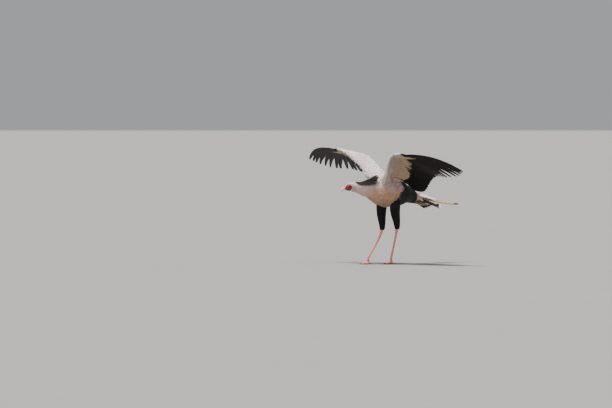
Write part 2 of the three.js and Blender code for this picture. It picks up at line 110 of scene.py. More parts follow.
# The layout's landmarks, shared with the solids
SPINE = ((-395, 0, 532), (-320, 0, 548), (-242, 0, 566), (-165, 0, 583), (-85, 0, 591), (0, 0, 595),
         (85, 0, 594), (150, 0, 594), (205, -2, 602), (250, -9, 613), (295, -25, 620), (331, -47, 628),
         (358, -69, 637))
SPINE_SIZES = ((22, 8, 30), (38, 18, 56), (60, 40, 70), (82, 62, 88), (100, 88, 112), (108, 98, 124),
               (106, 95, 124), (92, 90, 104), (73, 79, 84), (58, 62, 70), (48, 50, 60), (40, 41, 50),
               (34, 38, 41))
SKULL = ((-14, 0, 2), (4, 0, 2), (20, 0, 1), (34, 0, 0), (46, 0, -1), (56, 0, -3))
SKULL_SIZES = ((30, 34, 37), (29.5, 33, 35), (27.5, 30, 31), (21, 23, 24), (14, 17, 16), (11, 12, 12))
HEAD_SPOT = (390, -86, 634)
HEAD_YAW = math.radians(-27)
HEAD_PITCH = math.radians(14)
EYE = (20, 20, 3)
EYE_RADIUS = 9.5


def on_head(points: Sequence | Array) -> Array:
    """Moves points of the head's own frame (x to the bill, y left, z up, mm) into the layout (metres).

    Args:
        points: places on the head, one row each.

    Returns:
        The places in the layout, in metres.
    """
    p = np.atleast_2d(np.asarray(points, float)) * MM
    cp, sp, cy, sy = math.cos(HEAD_PITCH), math.sin(HEAD_PITCH), math.cos(HEAD_YAW), math.sin(HEAD_YAW)
    pitch = np.array([[cp, 0, sp], [0, 1, 0], [-sp, 0, cp]])
    yaw = np.array([[cy, -sy, 0], [sy, cy, 0], [0, 0, 1]])
    return p @ (yaw @ pitch).T + np.array(HEAD_SPOT) * MM


def off_head(points: Array) -> Array:
    """Undoes `on_head`: layout metres into the head's own frame in millimetres."""
    base, axes = on_head((0, 0, 0))[0], on_head(np.eye(3) * 1000) - on_head((0, 0, 0))
    return (points - base) @ axes.T / MM


class Layout:
    """Moves pieces between the bird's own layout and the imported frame."""

    def __init__(self) -> None:
        """Finds the shift from the middle of the left eye, which both know."""
        low, high = (np.array(corner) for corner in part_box("eye_left"))
        self.shift: Array = (low + high) / 2 - on_head(EYE)[0]
        self.shift[2] = 0

    def place(self, points: Array) -> Array:
        """Moves layout points into the frame."""
        return points + self.shift


# Shader maths

class Wire:
    """A shader socket that takes part in Python expressions."""

    def __init__(self, shader: "Shader", socket: bpy.types.NodeSocket) -> None:
        """Wraps an output socket of a shader's node tree."""
        self.shader = shader
        self.socket = socket

    def _do(self, operation: str, *values: "Wire | float") -> "Wire":
        """Adds one Math node and returns its output."""
        node = self.shader.node("ShaderNodeMath", {"operation": operation}, dict(enumerate(values)))
        return Wire(self.shader, node.outputs[0])

    def __add__(self, other: "Wire | float") -> "Wire":
        """Adds."""
        return self._do("ADD", self, other)

    def __sub__(self, other: "Wire | float") -> "Wire":
        """Subtracts."""
        return self._do("SUBTRACT", self, other)

    def __rsub__(self, other: float) -> "Wire":
        """Subtracts from a number."""
        return self._do("SUBTRACT", other, self)

    def __mul__(self, other: "Wire | float") -> "Wire":
        """Multiplies."""
        return self._do("MULTIPLY", self, other)

    __radd__ = __add__
    __rmul__ = __mul__

    def sine(self) -> "Wire":
        """Takes the sine."""
        return self._do("SINE", self)

    def size(self) -> "Wire":
        """Takes the absolute value."""
        return self._do("ABSOLUTE", self)

    def highest(self, other: "Wire | float") -> "Wire":
        """Takes the larger of two."""
        return self._do("MAXIMUM", self, other)

    def rise(self, low: float, high: float) -> "Wire":
        """Goes smoothly from 0 at `low` to 1 at `high`, which may lie either way round.

        Args:
            low: where the result is 0.
            high: where the result is 1.

        Returns:
            The share, between 0 and 1.
        """
        node = self.shader.node("ShaderNodeMapRange", {"interpolation_type": "SMOOTHSTEP"},
                                {0: self, 1: low, 2: high, 3: 0.0, 4: 1.0})
        return Wire(self.shader, node.outputs[0])


Colour = tuple[float, float, float]


class Shader:
    """A node material under construction."""

    def __init__(self, name: str, roughness: float = 0.6, **fixed: float | tuple) -> None:
        """Starts a material with one Principled surface.

        Args:
            name: the material's name.
            roughness: how rough the surface is, where nothing varies it.
            fixed: values of other sockets of the surface, with _ for a space.
        """
        self.material = bpy.data.materials.new(name)
        self.material.use_nodes = True
        self.tree = self.material.node_tree
        self.surface = self.tree.nodes["Principled BSDF"]
        self.surface.inputs["Roughness"].default_value = roughness
        for socket, value in fixed.items():
            self.surface.inputs[socket.replace("_", " ")].default_value = value

    def node(self, kind: str, settings: dict, values: dict) -> bpy.types.Node:
        """Adds a node.

        Args:
            kind: its type.
            settings: its properties, set first.
            values: what goes into its sockets, by name or number: wires, sockets or plain values.

        Returns:
            The node.
        """
        node = self.tree.nodes.new(kind)
        for key, value in settings.items():
            setattr(node, key, value)
        for key, value in values.items():
            socket = node.inputs[key]
            if isinstance(value, Wire):
                value = value.socket
            if isinstance(value, bpy.types.NodeSocket):
                self.tree.links.new(value, socket)
            else:
                socket.default_value = (*value, 1.0) if socket.type == "RGBA" else value
        return node

    def read(self, name: str) -> tuple[Wire, Wire, Wire]:
        """Gives the three parts of a point attribute.

        Args:
            name: the attribute.

        Returns:
            Its three numbers.
        """
        attribute = self.node("ShaderNodeAttribute", {"attribute_name": name}, {})
        split = self.node("ShaderNodeSeparateXYZ", {}, {0: attribute.outputs["Vector"]})
        return tuple(Wire(self, output) for output in split.outputs)

    def vector(self, name: str) -> bpy.types.NodeSocket:
        """Gives a point attribute as a vector."""
        return self.node("ShaderNodeAttribute", {"attribute_name": name}, {}).outputs["Vector"]

    def object_point(self) -> bpy.types.NodeSocket:
        """Gives the place on the piece."""
        return self.node("ShaderNodeTexCoord", {}, {}).outputs["Object"]

    def noise(self, scale: float, detail: float = 3, at: bpy.types.NodeSocket | None = None) -> Wire:
        """Gives noise between about 0 and 1 on the piece's own coordinates.

        Args:
            scale: how fine it is.
            detail: how many finer layers it has.
            at: where it is read, if not at the place on the piece.

        Returns:
            The noise.
        """
        node = self.node("ShaderNodeTexNoise", {}, {"Vector": at or self.object_point(), "Scale": scale,
                                                    "Detail": detail})
        return Wire(self, node.outputs[0])

    def cells(self, scale: float, feature: str = "DISTANCE_TO_EDGE", stretch: Colour = (1, 1, 1)) -> Wire:
        """Gives a pattern of cells, as of scales or wrinkled skin.

        Args:
            scale: how fine it is.
            feature: what is measured in each cell.
            stretch: how the pattern is scaled along each axis.

        Returns:
            The pattern.
        """
        point = self.node("ShaderNodeMapping", {}, {"Vector": self.object_point(), "Scale": stretch})
        node = self.node("ShaderNodeTexVoronoi", {"feature": feature},
                         {"Vector": point.outputs[0], "Scale": scale})
        return Wire(self, node.outputs[0])

    def blend(self, share: Wire | float, low: Wire | Colour, high: Wire | Colour) -> Wire:
        """Mixes two colours by a share."""
        node = self.node("ShaderNodeMix", {"data_type": "RGBA"}, {0: share, 6: low, 7: high})
        return Wire(self, node.outputs[2])

    def finish(self, colour: Wire, rough: Wire | None = None, height: Wire | None = None,
               depth: float = 1 * MM, strength: float = 0.5) -> bpy.types.Material:
        """Connects the surface.

        Args:
            colour: base colour.
            rough: roughness, where it varies.
            height: relief between 0 and 1.
            depth: how far a relief of 1 stands out, in metres.
            strength: how strongly the relief shades.

        Returns:
            The finished material.
        """
        self.tree.links.new(colour.socket, self.surface.inputs["Base Color"])
        if rough is not None:
            self.tree.links.new(rough.socket, self.surface.inputs["Roughness"])
        if height is not None:
            bump = self.node("ShaderNodeBump", {},
                             {"Height": height, "Distance": depth, "Strength": strength})
            self.tree.links.new(bump.outputs[0], self.surface.inputs["Normal"])
        return self.material


@dataclass(frozen=True)
class PlumageFinish:
    """Body feathers and the skin under them: grey-white, buff on the breast, black round the belly, with
    painted shade under the belly, round the root of the tail beneath and on the wings' undersides, and
    painted light on high parts.
    """

    grey: Colour = (0.58, 0.49, 0.50)
    pale: Colour = (0.90, 0.80, 0.81)
    rosy: Colour = (0.42, 0.25, 0.225)
    buff: Colour = (0.63, 0.32, 0.155)
    # dark brown painted shade for the wings' pale undersides
    painted_shade_lining: Colour = (0.27, 0.175, 0.10)
    # dark colour for mottling and shafts, also used as painted shade under the belly
    shade: Colour = (0.20, 0.13, 0.085)
    black: Colour = (0.0040, 0.0036, 0.0050)
    face: Colour = (0.12, 0.005, 0.012)
    gape: Colour = (0.30, 0.042, 0.040)

    def make(self, shift: Array) -> bpy.types.Material:
        """Builds the material.

        Args:
            shift: the frame's place of the layout's origin.

        Returns:
            A material for the skin and for the coat on it.
        """
        s = Shader("body_plumage", 0.85, Specular_IOR_Level=0.25)
        x, _, z = s.read("root")
        along, across, chance = s.read("vane")
        kind, bare, painted_shade_underside = s.read("kind")
        x = x - float(shift[0])
        wobble = (s.noise(16, 2, s.vector("root")) - 0.5) * 0.07
        breast = (z + wobble).rise(0.665, 0.555) * x.rise(-0.06, 0.06) * x.rise(0.36, 0.26)
        # painted shade: the low rear underside is marked for buff-brown and dark mottling
        vent = (z + wobble).rise(0.555, 0.50) * x.rise(-0.19, -0.23)
        band = (x + wobble).rise(-0.232, -0.212) * (x + wobble * 1.4 + (z - 0.6) * 0.45).rise(0.016, -0.012)
        flank = band * (z + wobble).rise(0.69, 0.66)
        black = flank.highest(kind)
        # painted light: plumage above 0.70 m is paler, as on parts lit from above, on top of the coverts'
        # own pale tone
        white = z.rise(0.70, 0.76) * 0.6
        tone = s.blend(s.noise(30, 3) * 0.5 + chance * 0.5 + white, self.grey, self.pale)
        tone = s.blend((z + wobble).rise(0.70, 0.62) * 0.8, tone, self.rosy)
        # real buff on the breast; buff-brown painted shade on the low rear underside
        warm = breast.highest(vent * 0.8)
        tone = s.blend(warm * (0.72 + chance * 0.28), tone, self.buff)
        # painted shade: the coverts under the wings turn dark brown in place of their pale buff
        tone = s.blend(painted_shade_underside * (0.7 + chance * 0.3), tone, self.painted_shade_lining)
        # painted shade: the plumage darkens towards the underside of the belly, below 0.57 m
        tone = s.blend((z + wobble).rise(0.57, 0.49) * 0.75, tone, self.shade)
        mottle = (s.noise(42, 3) + chance * 0.25).rise(0.42, 0.72)
        # dark mottling, real on the breast and painted shade beneath the root of the tail
        tone = s.blend(mottle * breast.highest(vent) * 0.45, tone, self.shade)
        edge = along.rise(0.45, 1.0)
        tone = s.blend(edge * (0.4 - warm * 0.28), tone, self.pale)
        quill = across.size().rise(0.14, 0.0) * 0.35
        tone = s.blend(quill, tone, self.shade)
        tone = s.blend(black, tone, self.black)
        skin = s.blend(s.noise(180, 4).rise(0.35, 0.7), self.face, self.gape)
        tone = s.blend(bare, tone, skin)
        barbs = (along * 70 + across.size() * 34).sine() * 0.5 + 0.5
        wrinkles = s.cells(420).rise(0.0, 0.25)
        height = barbs * (1 - bare) * 0.3 + wrinkles * bare
        rough = 0.85 - black * 0.25 - bare * 0.35
        return s.finish(tone, rough, height, 0.6 * MM, 0.45)


@dataclass(frozen=True)
class VaneFinish:
    """A large feather: its colour from root to tip, with a band, a pale tip and a dark shaft."""

    name: str
    base: Colour
    edge: Colour
    shaft: Colour
    band: Colour = (0.012, 0.011, 0.013)
    band_from: float = 2.0
    band_to: float = 2.0
    tip: Colour = (0.85, 0.82, 0.78)
    mottle: float = 0.25
    roughness: float = 0.6

    def make(self) -> bpy.types.Material:
        """Builds the material.

        Returns:
            The material.
        """
        s = Shader(self.name, self.roughness, Specular_IOR_Level=0.18)
        along, across, chance = s.read("vane")
        tone = s.blend(s.noise(45, 4) * self.mottle + chance * self.mottle, self.base, self.edge)
        tone = s.blend(across.size().rise(0.55, 1.0) * 0.5, tone, self.edge)
        fray = (s.noise(90, 3) - 0.5) * 0.05 + across.size() * 0.03
        band = (along + fray).rise(self.band_from - 0.02, self.band_from + 0.02)
        tone = s.blend(band, tone, self.band)
        end = (along + fray).rise(self.band_to - 0.015, self.band_to + 0.015)
        tone = s.blend(end, tone, self.tip)
        shaft = across.size().rise(0.05, 0.02)
        tone = s.blend(shaft, tone, self.shaft)
        barbs = (along * 420 + across.size() * 150).sine() * 0.5 + 0.5
        height = barbs * 0.35 * (1 - shaft) + s.noise(60, 2) * 0.5
        rough = self.roughness + s.noise(40, 2) * 0.2 - 0.1
        return s.finish(tone, rough, height, 0.5 * MM, 0.5)


@dataclass(frozen=True)
class HornFinish:
    """Bill or claw: horn that darkens towards its tip."""

    name: str
    base: Colour
    tip: Colour
    start: float
    end: float
    roughness: float = 0.32
    cere: Colour | None = None

    def make(self) -> bpy.types.Material:
        """Builds the material; the attribute `vane` runs 0 to 1 from root to tip.

        Returns:
            The material.
        """
        s = Shader(self.name, self.roughness, Coat_Weight=0.15)
        along, around, _ = s.read("vane")
        cloud = s.noise(140, 4)
        tone = s.blend((along + (cloud - 0.5) * 0.3).rise(self.start, self.end), self.base, self.tip)
        if self.cere:
            tone = s.blend((along + (cloud - 0.5) * 0.2).rise(0.30, 0.16), tone, self.cere)
        growth = (along * 90 + cloud * 8).sine() * 0.5 + 0.5
        return s.finish(tone, self.roughness + cloud * 0.2, growth * 0.4 + cloud * 0.6, 0.4 * MM, 0.3)


@dataclass(frozen=True)
class LegFinish:
    """Salmon pink leg skin: broad scutes down the front, small round scales elsewhere."""

    pink: Colour = (0.84, 0.20, 0.17)
    pale: Colour = (0.90, 0.36, 0.31)
    seam: Colour = (0.44, 0.11, 0.095)

    def make(self) -> bpy.types.Material:
        """Builds the material; `vane` holds length along the leg in metres and the turn about it.

        Returns:
            The material.
        """
        s = Shader("leg_skin", 0.5, Subsurface_Weight=0.08, Subsurface_Radius=(0.006, 0.002, 0.001))
        along, turn, _ = s.read("vane")
        scutes = (along * 900 + turn * turn * 2.5).sine() * 0.5 + 0.5
        front = turn.size().rise(0.34, 0.24)
        scales = s.cells(330, stretch=(1, 1, 0.8)).rise(0.0, 0.22)
        relief = scutes.rise(0.0, 0.35) * front + scales * (1 - front)
        tone = s.blend(s.noise(60, 4), self.pink, self.pale)
        tone = s.blend((1 - relief) * 0.75, tone, self.seam)
        return s.finish(tone, 0.42 + (1 - relief) * 0.3, relief, 0.7 * MM, 0.6)


@dataclass(frozen=True)
class EyeFinish:
    """A wet brown eye with a black pupil."""

    iris: Colour = (0.13, 0.045, 0.016)
    rim: Colour = (0.012, 0.006, 0.004)
    pupil: Colour = (0.002, 0.002, 0.002)

    def make(self) -> bpy.types.Material:
        """Builds the material; `vane` runs 0 to 1 from the middle of the pupil to the back.

        Returns:
            The material.
        """
        s = Shader("eye", 0.06, Specular_IOR_Level=0.35, Coat_Weight=0.25, Coat_Roughness=0.02)
        out, _, _ = s.read("vane")
        streak = s.noise(700, 3)
        tone = s.blend((out + streak * 0.03).rise(0.17, 0.20), self.pupil, self.iris)
        tone = s.blend(out.rise(0.27, 0.34), tone, self.rim)
        return s.finish(tone)


@dataclass(frozen=True)
class PlainFinish:
    """A small plain surface with a little clouding."""

    name: str
    colour: Colour
    roughness: float = 0.5
    cloud: float = 25
    other: Colour | None = None

    def make(self) -> bpy.types.Material:
        """Builds the material.

        Returns:
            The material.
        """
        s = Shader(self.name, self.roughness)
        cloud = s.noise(self.cloud, 4)
        other = self.other or tuple(0.7 * c for c in self.colour)
        return s.finish(s.blend(cloud, self.colour, other), height=cloud, depth=0.3 * MM, strength=0.2)


# Shapes

Place = Callable[[Array, Array], Array]


def sheet(columns: int, rows: int) -> bmesh.types.BMesh:
    """Makes a flat grid whose x and y run from 0 to 1.

    Args:
        columns: faces along x.
        rows: faces along y.

    Returns:
        The grid.
    """
    bm = bmesh.new()
    bmesh.ops.create_grid(bm, x_segments=columns, y_segments=rows, size=0.5)
    bmesh.ops.translate(bm, verts=bm.verts, vec=(0.5, 0.5, 0))
    return bm


def shaped(columns: int, rows: int, place: Place, closed: bool = True) -> tuple[bmesh.types.BMesh, Array]:
    """Bends a grid into a surface, and welds and caps it where it is a tube.

    Args:
        columns: faces round it.
        rows: faces along it.
        place: gives points for arrays of places round and along, each 0 to 1.
        closed: whether the surface is a tube with two ends to close.

    Returns:
        The surface, with its flat coordinates in a float layer "flat_u" and "flat_v".
    """
    bm = sheet(columns, rows)
    flat = np.array([v.co[:2] for v in bm.verts])
    round_, along = bm.verts.layers.float.new("flat_u"), bm.verts.layers.float.new("flat_v")
    for vertex, point, (u, v) in zip(bm.verts, place(flat[:, 0], flat[:, 1]), flat):
        vertex.co = point
        vertex[round_], vertex[along] = u, v
    if closed:
        bmesh.ops.remove_doubles(bm, verts=bm.verts, dist=1e-6)
        bmesh.ops.holes_fill(bm, edges=[e for e in bm.edges if e.is_boundary], sides=0)
        bmesh.ops.triangulate(bm, faces=[f for f in bm.faces if len(f.verts) > 4])
    bmesh.ops.recalc_face_normals(bm, faces=bm.faces)
    return bm


@dataclass
class Tube:
    """A run of oval rings along a curve: half width, rise above and fall below at each place."""

    path: Callable[[Array], Array]
    sizes: Callable[[Array], Array]
    up: Array = field(default_factory=lambda: UP)

    def point(self, t: Array, turn: Array, inset: Array | float = 0.0) -> Array:
        """Gives surface points.

        Args:
            t: places along, 0 to 1.
            turn: places round, 0 at the left side, a quarter on top, 0 to 1.
            inset: how far inside the true surface.

        Returns:
            One point for each pair.
        """
        t, turn = np.broadcast_arrays(np.asarray(t, float), np.asarray(turn, float))
        step = 0.01
        low, high = np.clip(t - step, 0, 1), np.clip(t + step, 0, 1)
        along = unit(self.path(high) - self.path(low))
        across = unit(np.cross(self.up, along))
        rise = np.cross(along, across)
        size = self.sizes(t)
        sine, cosine = np.sin(TAU * turn)[:, None], np.cos(TAU * turn)[:, None]
        inset = np.broadcast_to(np.asarray(inset, float), t.shape)[:, None]
        height = np.where(sine > 0, size[:, 1:2], size[:, 2:3])
        return (self.path(t) + across * cosine * np.maximum(size[:, :1] - inset, 0.0004)
                + rise * sine * np.maximum(height - inset, 0.0004))

    def length(self) -> float:
        """Gives the length of the curve in metres."""
        points = self.path(np.linspace(0, 1, 60))
        return float(np.linalg.norm(np.diff(points, axis=0), axis=1).sum())


def spline_tube(path: Spline, sizes: Spline, up: Array = UP) -> Tube:
    """Makes a tube from two splines."""
    return Tube(path.at, sizes.at, up)


class Slots(Enum):
    """The record's material slots."""

    GREY = "grey_plumage"
    WING = "wing_plumage"
    FLIGHT = "flight_plumage"
    TAIL = "tail_plumage"
    THIGH = "thigh_plumage"
    FACE = "face_skin"
    BILL = "bill_horn"
    EYE = "eye"
    LEG = "leg_skin"
    CLAW = "claw_horn"


def register(mesh: bpy.types.Mesh, name: str, material: bpy.types.Material, slot: Slots,
             nodes: Sequence[str] = ()) -> bpy.types.Object:
    """Puts a finished mesh in the scene as a piece of the bird.

    Args:
        mesh: the mesh, in the frame's coordinates.
        name: the piece's name.
        material: its finish.
        slot: the record's slot that the finish belongs to; not used.
        nodes: the frame's nodes that it stands for.

    Returns:
        The new object.
    """
    mesh.name = name
    mesh.materials.clear()
    mesh.materials.append(material)
    mesh.polygons.foreach_set("use_smooth", np.ones(len(mesh.polygons), bool))
    piece = bpy.data.objects.new(name, mesh)
    bpy.context.scene.collection.objects.link(piece)
    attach(piece, "root")
    if nodes:
        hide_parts(*nodes)
    log.info("%s: %d faces", name, len(mesh.polygons))
    return piece


def write_points(mesh: bpy.types.Mesh, name: str, values: Array) -> None:
    """Stores three numbers a vertex under a name that materials read."""
    attribute = mesh.attributes.new(name, "FLOAT_VECTOR", "POINT")
    attribute.data.foreach_set("vector", np.asarray(values, np.float32).ravel())


def vertex_points(mesh: bpy.types.Mesh) -> Array:
    """Reads a mesh's vertices.

    Args:
        mesh: the mesh.

    Returns:
        One row for each vertex.
    """
    points = np.empty(len(mesh.vertices) * 3, np.float32)
    mesh.vertices.foreach_get("co", points)
    return points.reshape(-1, 3).astype(float)


Reading = Callable[[Array, Array], tuple[Array, Array, Array]]


def lengthwise(turn: Array, t: Array) -> tuple[Array, Array, Array]:
    """Lets a finish read the share of the length and the turn."""
    return t, turn, 0 * t


def form(name: str, layout: Layout, surfaces: Sequence[tuple[bmesh.types.BMesh, Reading]],
         material: bpy.types.Material, slot: Slots, nodes: Sequence[str] = ()) -> bpy.types.Object:
    """Joins bent surfaces into one piece and gives it the attribute that its finish reads.

    Args:
        name: the piece's name.
        layout: moves it into the frame.
        surfaces: each surface, with a function of its flat coordinates for the attribute `vane`.
        material: the finish.
        slot: the record's slot.
        nodes: the nodes that it stands for.

    Returns:
        The piece.
    """
    joined = bmesh.new()
    values: list[Array] = []
    for bm, reading in surfaces:
        round_, along = bm.verts.layers.float["flat_u"], bm.verts.layers.float["flat_v"]
        flat = np.array([(v[round_], v[along]) for v in bm.verts])
        values.append(np.column_stack(reading(flat[:, 0], flat[:, 1])))
        part = bpy.data.meshes.new("part")
        bm.to_mesh(part)
        bm.free()
        joined.from_mesh(part)
        bpy.data.meshes.remove(part)
    mesh = bpy.data.meshes.new(name)
    joined.to_mesh(mesh)
    joined.free()
    mesh.vertices.foreach_set("co", layout.place(vertex_points(mesh)).astype(np.float32).ravel())
    write_points(mesh, "vane", np.vstack(values))
    for layer in ("flat_u", "flat_v"):
        mesh.attributes.remove(mesh.attributes[layer])
    return register(mesh, name, material, slot, nodes)


# The wing's feathered surface, described on the left side

@dataclass
class WingShape:
    """Lines of the raised wing, from the shoulder to the end of the hand, and its fan of feathers."""

    side: int
    primaries: int = 10
    secondaries: int = 12
    tertials: int = 4
    roll: float = math.radians(-3)
    axis_height: float = 0.650
    shingle: float = math.tan(math.radians(7))
    last_tip: float = 27
    leading: Spline = Spline(((150, 40, 650), (194, 96, 712), (212, 134, 780), (258, 200, 852),
                              (288, 264, 908), (284, 338, 926), (278, 400, 922)))
    bone: Spline = Spline(((72, 34, 684), (84, 96, 762), (108, 182, 852), (190, 236, 888), (264, 284, 908),
                           (264, 344, 917), (264, 398, 917)))
    rear: Spline = Spline(((-92, 30, 656), (-42, 92, 708), (54, 190, 822), (150, 248, 860), (234, 298, 890),
                           (247, 348, 903), (256, 402, 911)))
    depths: Spline = Spline(((50, 34, 0), (36, 22, 0), (22, 12, 0), (17, 9, 0), (13, 7, 0), (9, 5, 0),
                             (5, 3.5, 0)))
    tips: Spline = Spline(((75, 880, 809), (32, 800, 772), (5, 640, 748), (-45, 490, 745), (-88, 395, 720),
                           (-118, 330, 680), (-138, 280, 635), (-150, 235, 605), (-150, 178, 602),
                           (-105, 128, 628)))
    primary_bow: tuple[float, float, float] = (34, 25, 42)
    secondary_bow: tuple[float, float, float] = (12, 4, 24)

    def place(self, points: Array) -> Array:
        """Rolls the left wing's points into place and mirrors them for the right.

        Args:
            points: places on the left wing.

        Returns:
            The places on this wing, in the layout.
        """
        p = points * np.array([1, self.side, 1])
        y, z = p[:, 1], p[:, 2] - self.axis_height
        c, s = math.cos(self.roll), math.sin(self.roll)
        return np.column_stack([p[:, 0], y * c - z * s, y * s + z * c + self.axis_height])

    def turn(self, directions: Array) -> Array:
        """Rolls and mirrors directions as `place` does points."""
        hinge = np.array([0, 0, self.axis_height])
        return self.place(directions + hinge) - hinge

    def root_share(self, index: Array) -> Array:
        """Gives where feather `index` leaves the bones, 0 at the shoulder and 1 at the end of the hand.

        Args:
            index: numbers of feathers, counted from the outermost primary.

        Returns:
            Places along the bones.
        """
        wrist = self.primaries - 0.5
        elbow = wrist + self.secondaries
        return np.interp(index, [0, wrist, elbow, elbow + self.tertials + 0.5], [5.85, 4.05, 2.05, 0.95]) / 6

    def index_at(self, share: Array) -> Array:
        """Gives the feather that leaves the bones at a place: the inverse of `root_share`.

        Args:
            share: places along the bones.

        Returns:
            Numbers of feathers.
        """
        wrist = self.primaries - 0.5
        elbow = wrist + self.secondaries
        return np.interp(share * 6, [0.95, 2.05, 4.05, 5.85], [elbow + self.tertials + 0.5, elbow, wrist, 0])

    def surface(self, index: Array, t: Array) -> Array:
        """Gives points on the feathered surface, t of the way along feather `index`.

        Args:
            index: numbers of feathers, also between two.
            t: places along them, 0 to 1.

        Returns:
            One point for each pair.
        """
        index, t = np.broadcast_arrays(np.asarray(index, float), np.asarray(t, float))
        share = self.root_share(index)
        root = mix(self.bone.at(share), self.rear.at(share), 0.35)
        tip = self.tips.at(index / self.last_tip)
        blend = ramp(0, self.primaries, index)[:, None]
        bow = mix(np.array(self.primary_bow), np.array(self.secondary_bow), blend) * MM
        control = (root + tip) / 2 + 2 * bow
        t = t[:, None]
        return root * (1 - t)**2 + control * 2 * t * (1 - t) + tip * t * t

    def frame(self, index: Array, t: Array) -> tuple[Array, Array, Array]:
        """Gives directions along the feather, outward to the next one, and up from its upper side.

        Args:
            index: numbers of feathers.
            t: places along them, 0 to 1.

        Returns:
            The three directions, one row for each pair.
        """
        t = np.asarray(t, float)
        ahead, behind = np.minimum(1, t + 0.02), np.maximum(0, t - 0.02)
        along = unit(self.surface(index, ahead) - self.surface(index, behind))
        fan = np.maximum(t, 0.15)
        outward = self.surface(index - 0.5, fan) - self.surface(index + 0.5, fan)
        outward = unit(outward - along * np.sum(outward * along, axis=1, keepdims=True))
        return along, outward, np.cross(outward, along)

    def flesh(self, t: Array, turn: Array, inset: float = 0.0) -> Array:
        """Gives points on the flesh: t out along the arm, turn round its section from the leading edge.

        Args:
            t: places out along the arm, 0 to 1.
            turn: places round its section, 0 to 1.
            inset: how far inside the coat.

        Returns:
            One point for each pair.
        """
        t, turn = np.broadcast_arrays(np.asarray(t, float), np.asarray(turn, float))
        front, bone, rear = self.leading.at(t), self.bone.at(t), self.rear.at(t)
        low, high = np.clip(t - 0.02, 0, 1), np.clip(t + 0.02, 0, 1)
        up = unit(np.cross(self.bone.at(high) - self.bone.at(low), rear - front))
        chord = (1 - np.cos(TAU * turn)) / 2
        share = chord[:, None]
        spot = np.where(share < 0.45, mix(front, bone, share / 0.45), mix(bone, rear, (share - 0.45) / 0.55))
        size = self.depths.at(t)
        top = np.sin(TAU * turn) > 0
        depth = np.where(top, size[:, 0], size[:, 1]) - inset
        profile = 2.35 * np.sqrt(chord) * (1 - chord) * np.maximum(depth, 1 * MM)
        profile = profile + 1.2 * MM * chord * np.abs(np.sin(TAU * turn))
        spot = spot + unit(rear - front) * (inset * np.cos(TAU * turn))[:, None]
        return spot + up * np.where(top, profile, -profile)[:, None]


# Feathers

class Vane:
    """A flat feather of unit size, cut from a grid and thickened, that coats repeat and bend."""

    def __init__(self, columns: int, rows: int) -> None:
        """Cuts the feather.

        Args:
            columns: faces across it.
            rows: faces along it.
        """
        bm = sheet(columns, rows)
        bmesh.ops.solidify(bm, geom=bm.faces[:], thickness=1.0)
        bmesh.ops.recalc_face_normals(bm, faces=bm.faces)
        bm.verts.index_update()
        flat = np.array([v.co[:] for v in bm.verts])
        self.across: Array = flat[:, 0] * 2 - 1
        self.along: Array = flat[:, 1]
        middle = (flat[:, 2].min() + flat[:, 2].max()) / 2
        self.face: Array = np.sign(flat[:, 2] - middle)
        self.loops: Array = np.array([v.index for f in bm.faces for v in f.verts])
        self.sizes: Array = np.array([len(f.verts) for f in bm.faces])
        bm.free()


class Coat:
    """Many bent feathers, joined into one mesh from arrays."""

    def __init__(self, vane: Vane) -> None:
        """Starts an empty coat of one kind of feather.

        Args:
            vane: the feather that the coat repeats.
        """
        self.vane = vane
        self.points: list[Array] = []
        self.notes: dict[str, list[Array]] = {"root": [], "vane": [], "kind": []}
        self.maps: list[Array] = []

    def add(self, points: Array, roots: Array, chance: Array, kind: Array, maps: Array) -> None:
        """Adds feathers.

        Args:
            points: feathers x vertices x 3, in the frame.
            roots: where each stands, in the frame.
            chance: a random number for each.
            kind: three numbers for each: black, bare, and the painted shade of the wings' undersides.
            maps: feathers x vertices x 2, places on the unwrapped skin.
        """
        count, size = points.shape[:2]
        wide = np.broadcast_to
        self.points.append(points.reshape(-1, 3))
        self.notes["root"].append(np.repeat(roots, size, axis=0))
        vane = np.stack([wide(self.vane.along, (count, size)), wide(self.vane.across, (count, size)),
                         wide(chance[:, None], (count, size))], axis=-1)
        self.notes["vane"].append(vane.reshape(-1, 3))
        self.notes["kind"].append(np.repeat(kind, size, axis=0))
        self.maps.append(maps.reshape(-1, 2))

    def mesh(self, name: str) -> bpy.types.Mesh:
        """Builds the joined mesh.

        Args:
            name: the mesh's name.

        Returns:
            The mesh, with its attributes and its unwrap.
        """
        points = np.vstack(self.points)
        size = len(self.vane.along)
        count = len(points) // size
        loops = (np.arange(count)[:, None] * size + self.vane.loops[None]).ravel()
        sizes = np.tile(self.vane.sizes, count)
        mesh = bpy.data.meshes.new(name)
        mesh.vertices.add(len(points))
        mesh.vertices.foreach_set("co", points.astype(np.float32).ravel())
        mesh.loops.add(len(loops))
        mesh.loops.foreach_set("vertex_index", loops.astype(np.int32))
        mesh.polygons.add(len(sizes))
        mesh.polygons.foreach_set("loop_start", (np.cumsum(sizes) - sizes).astype(np.int32))
        for key, parts in self.notes.items():
            write_points(mesh, key, np.vstack(parts))
        layer = mesh.uv_layers.new(name="OFBake")
        layer.data.foreach_set("uv", np.vstack(self.maps)[loops].astype(np.float32).ravel())
        mesh.update(calc_edges=True)
        mesh.validate()
        return mesh


PATCH = 0.003


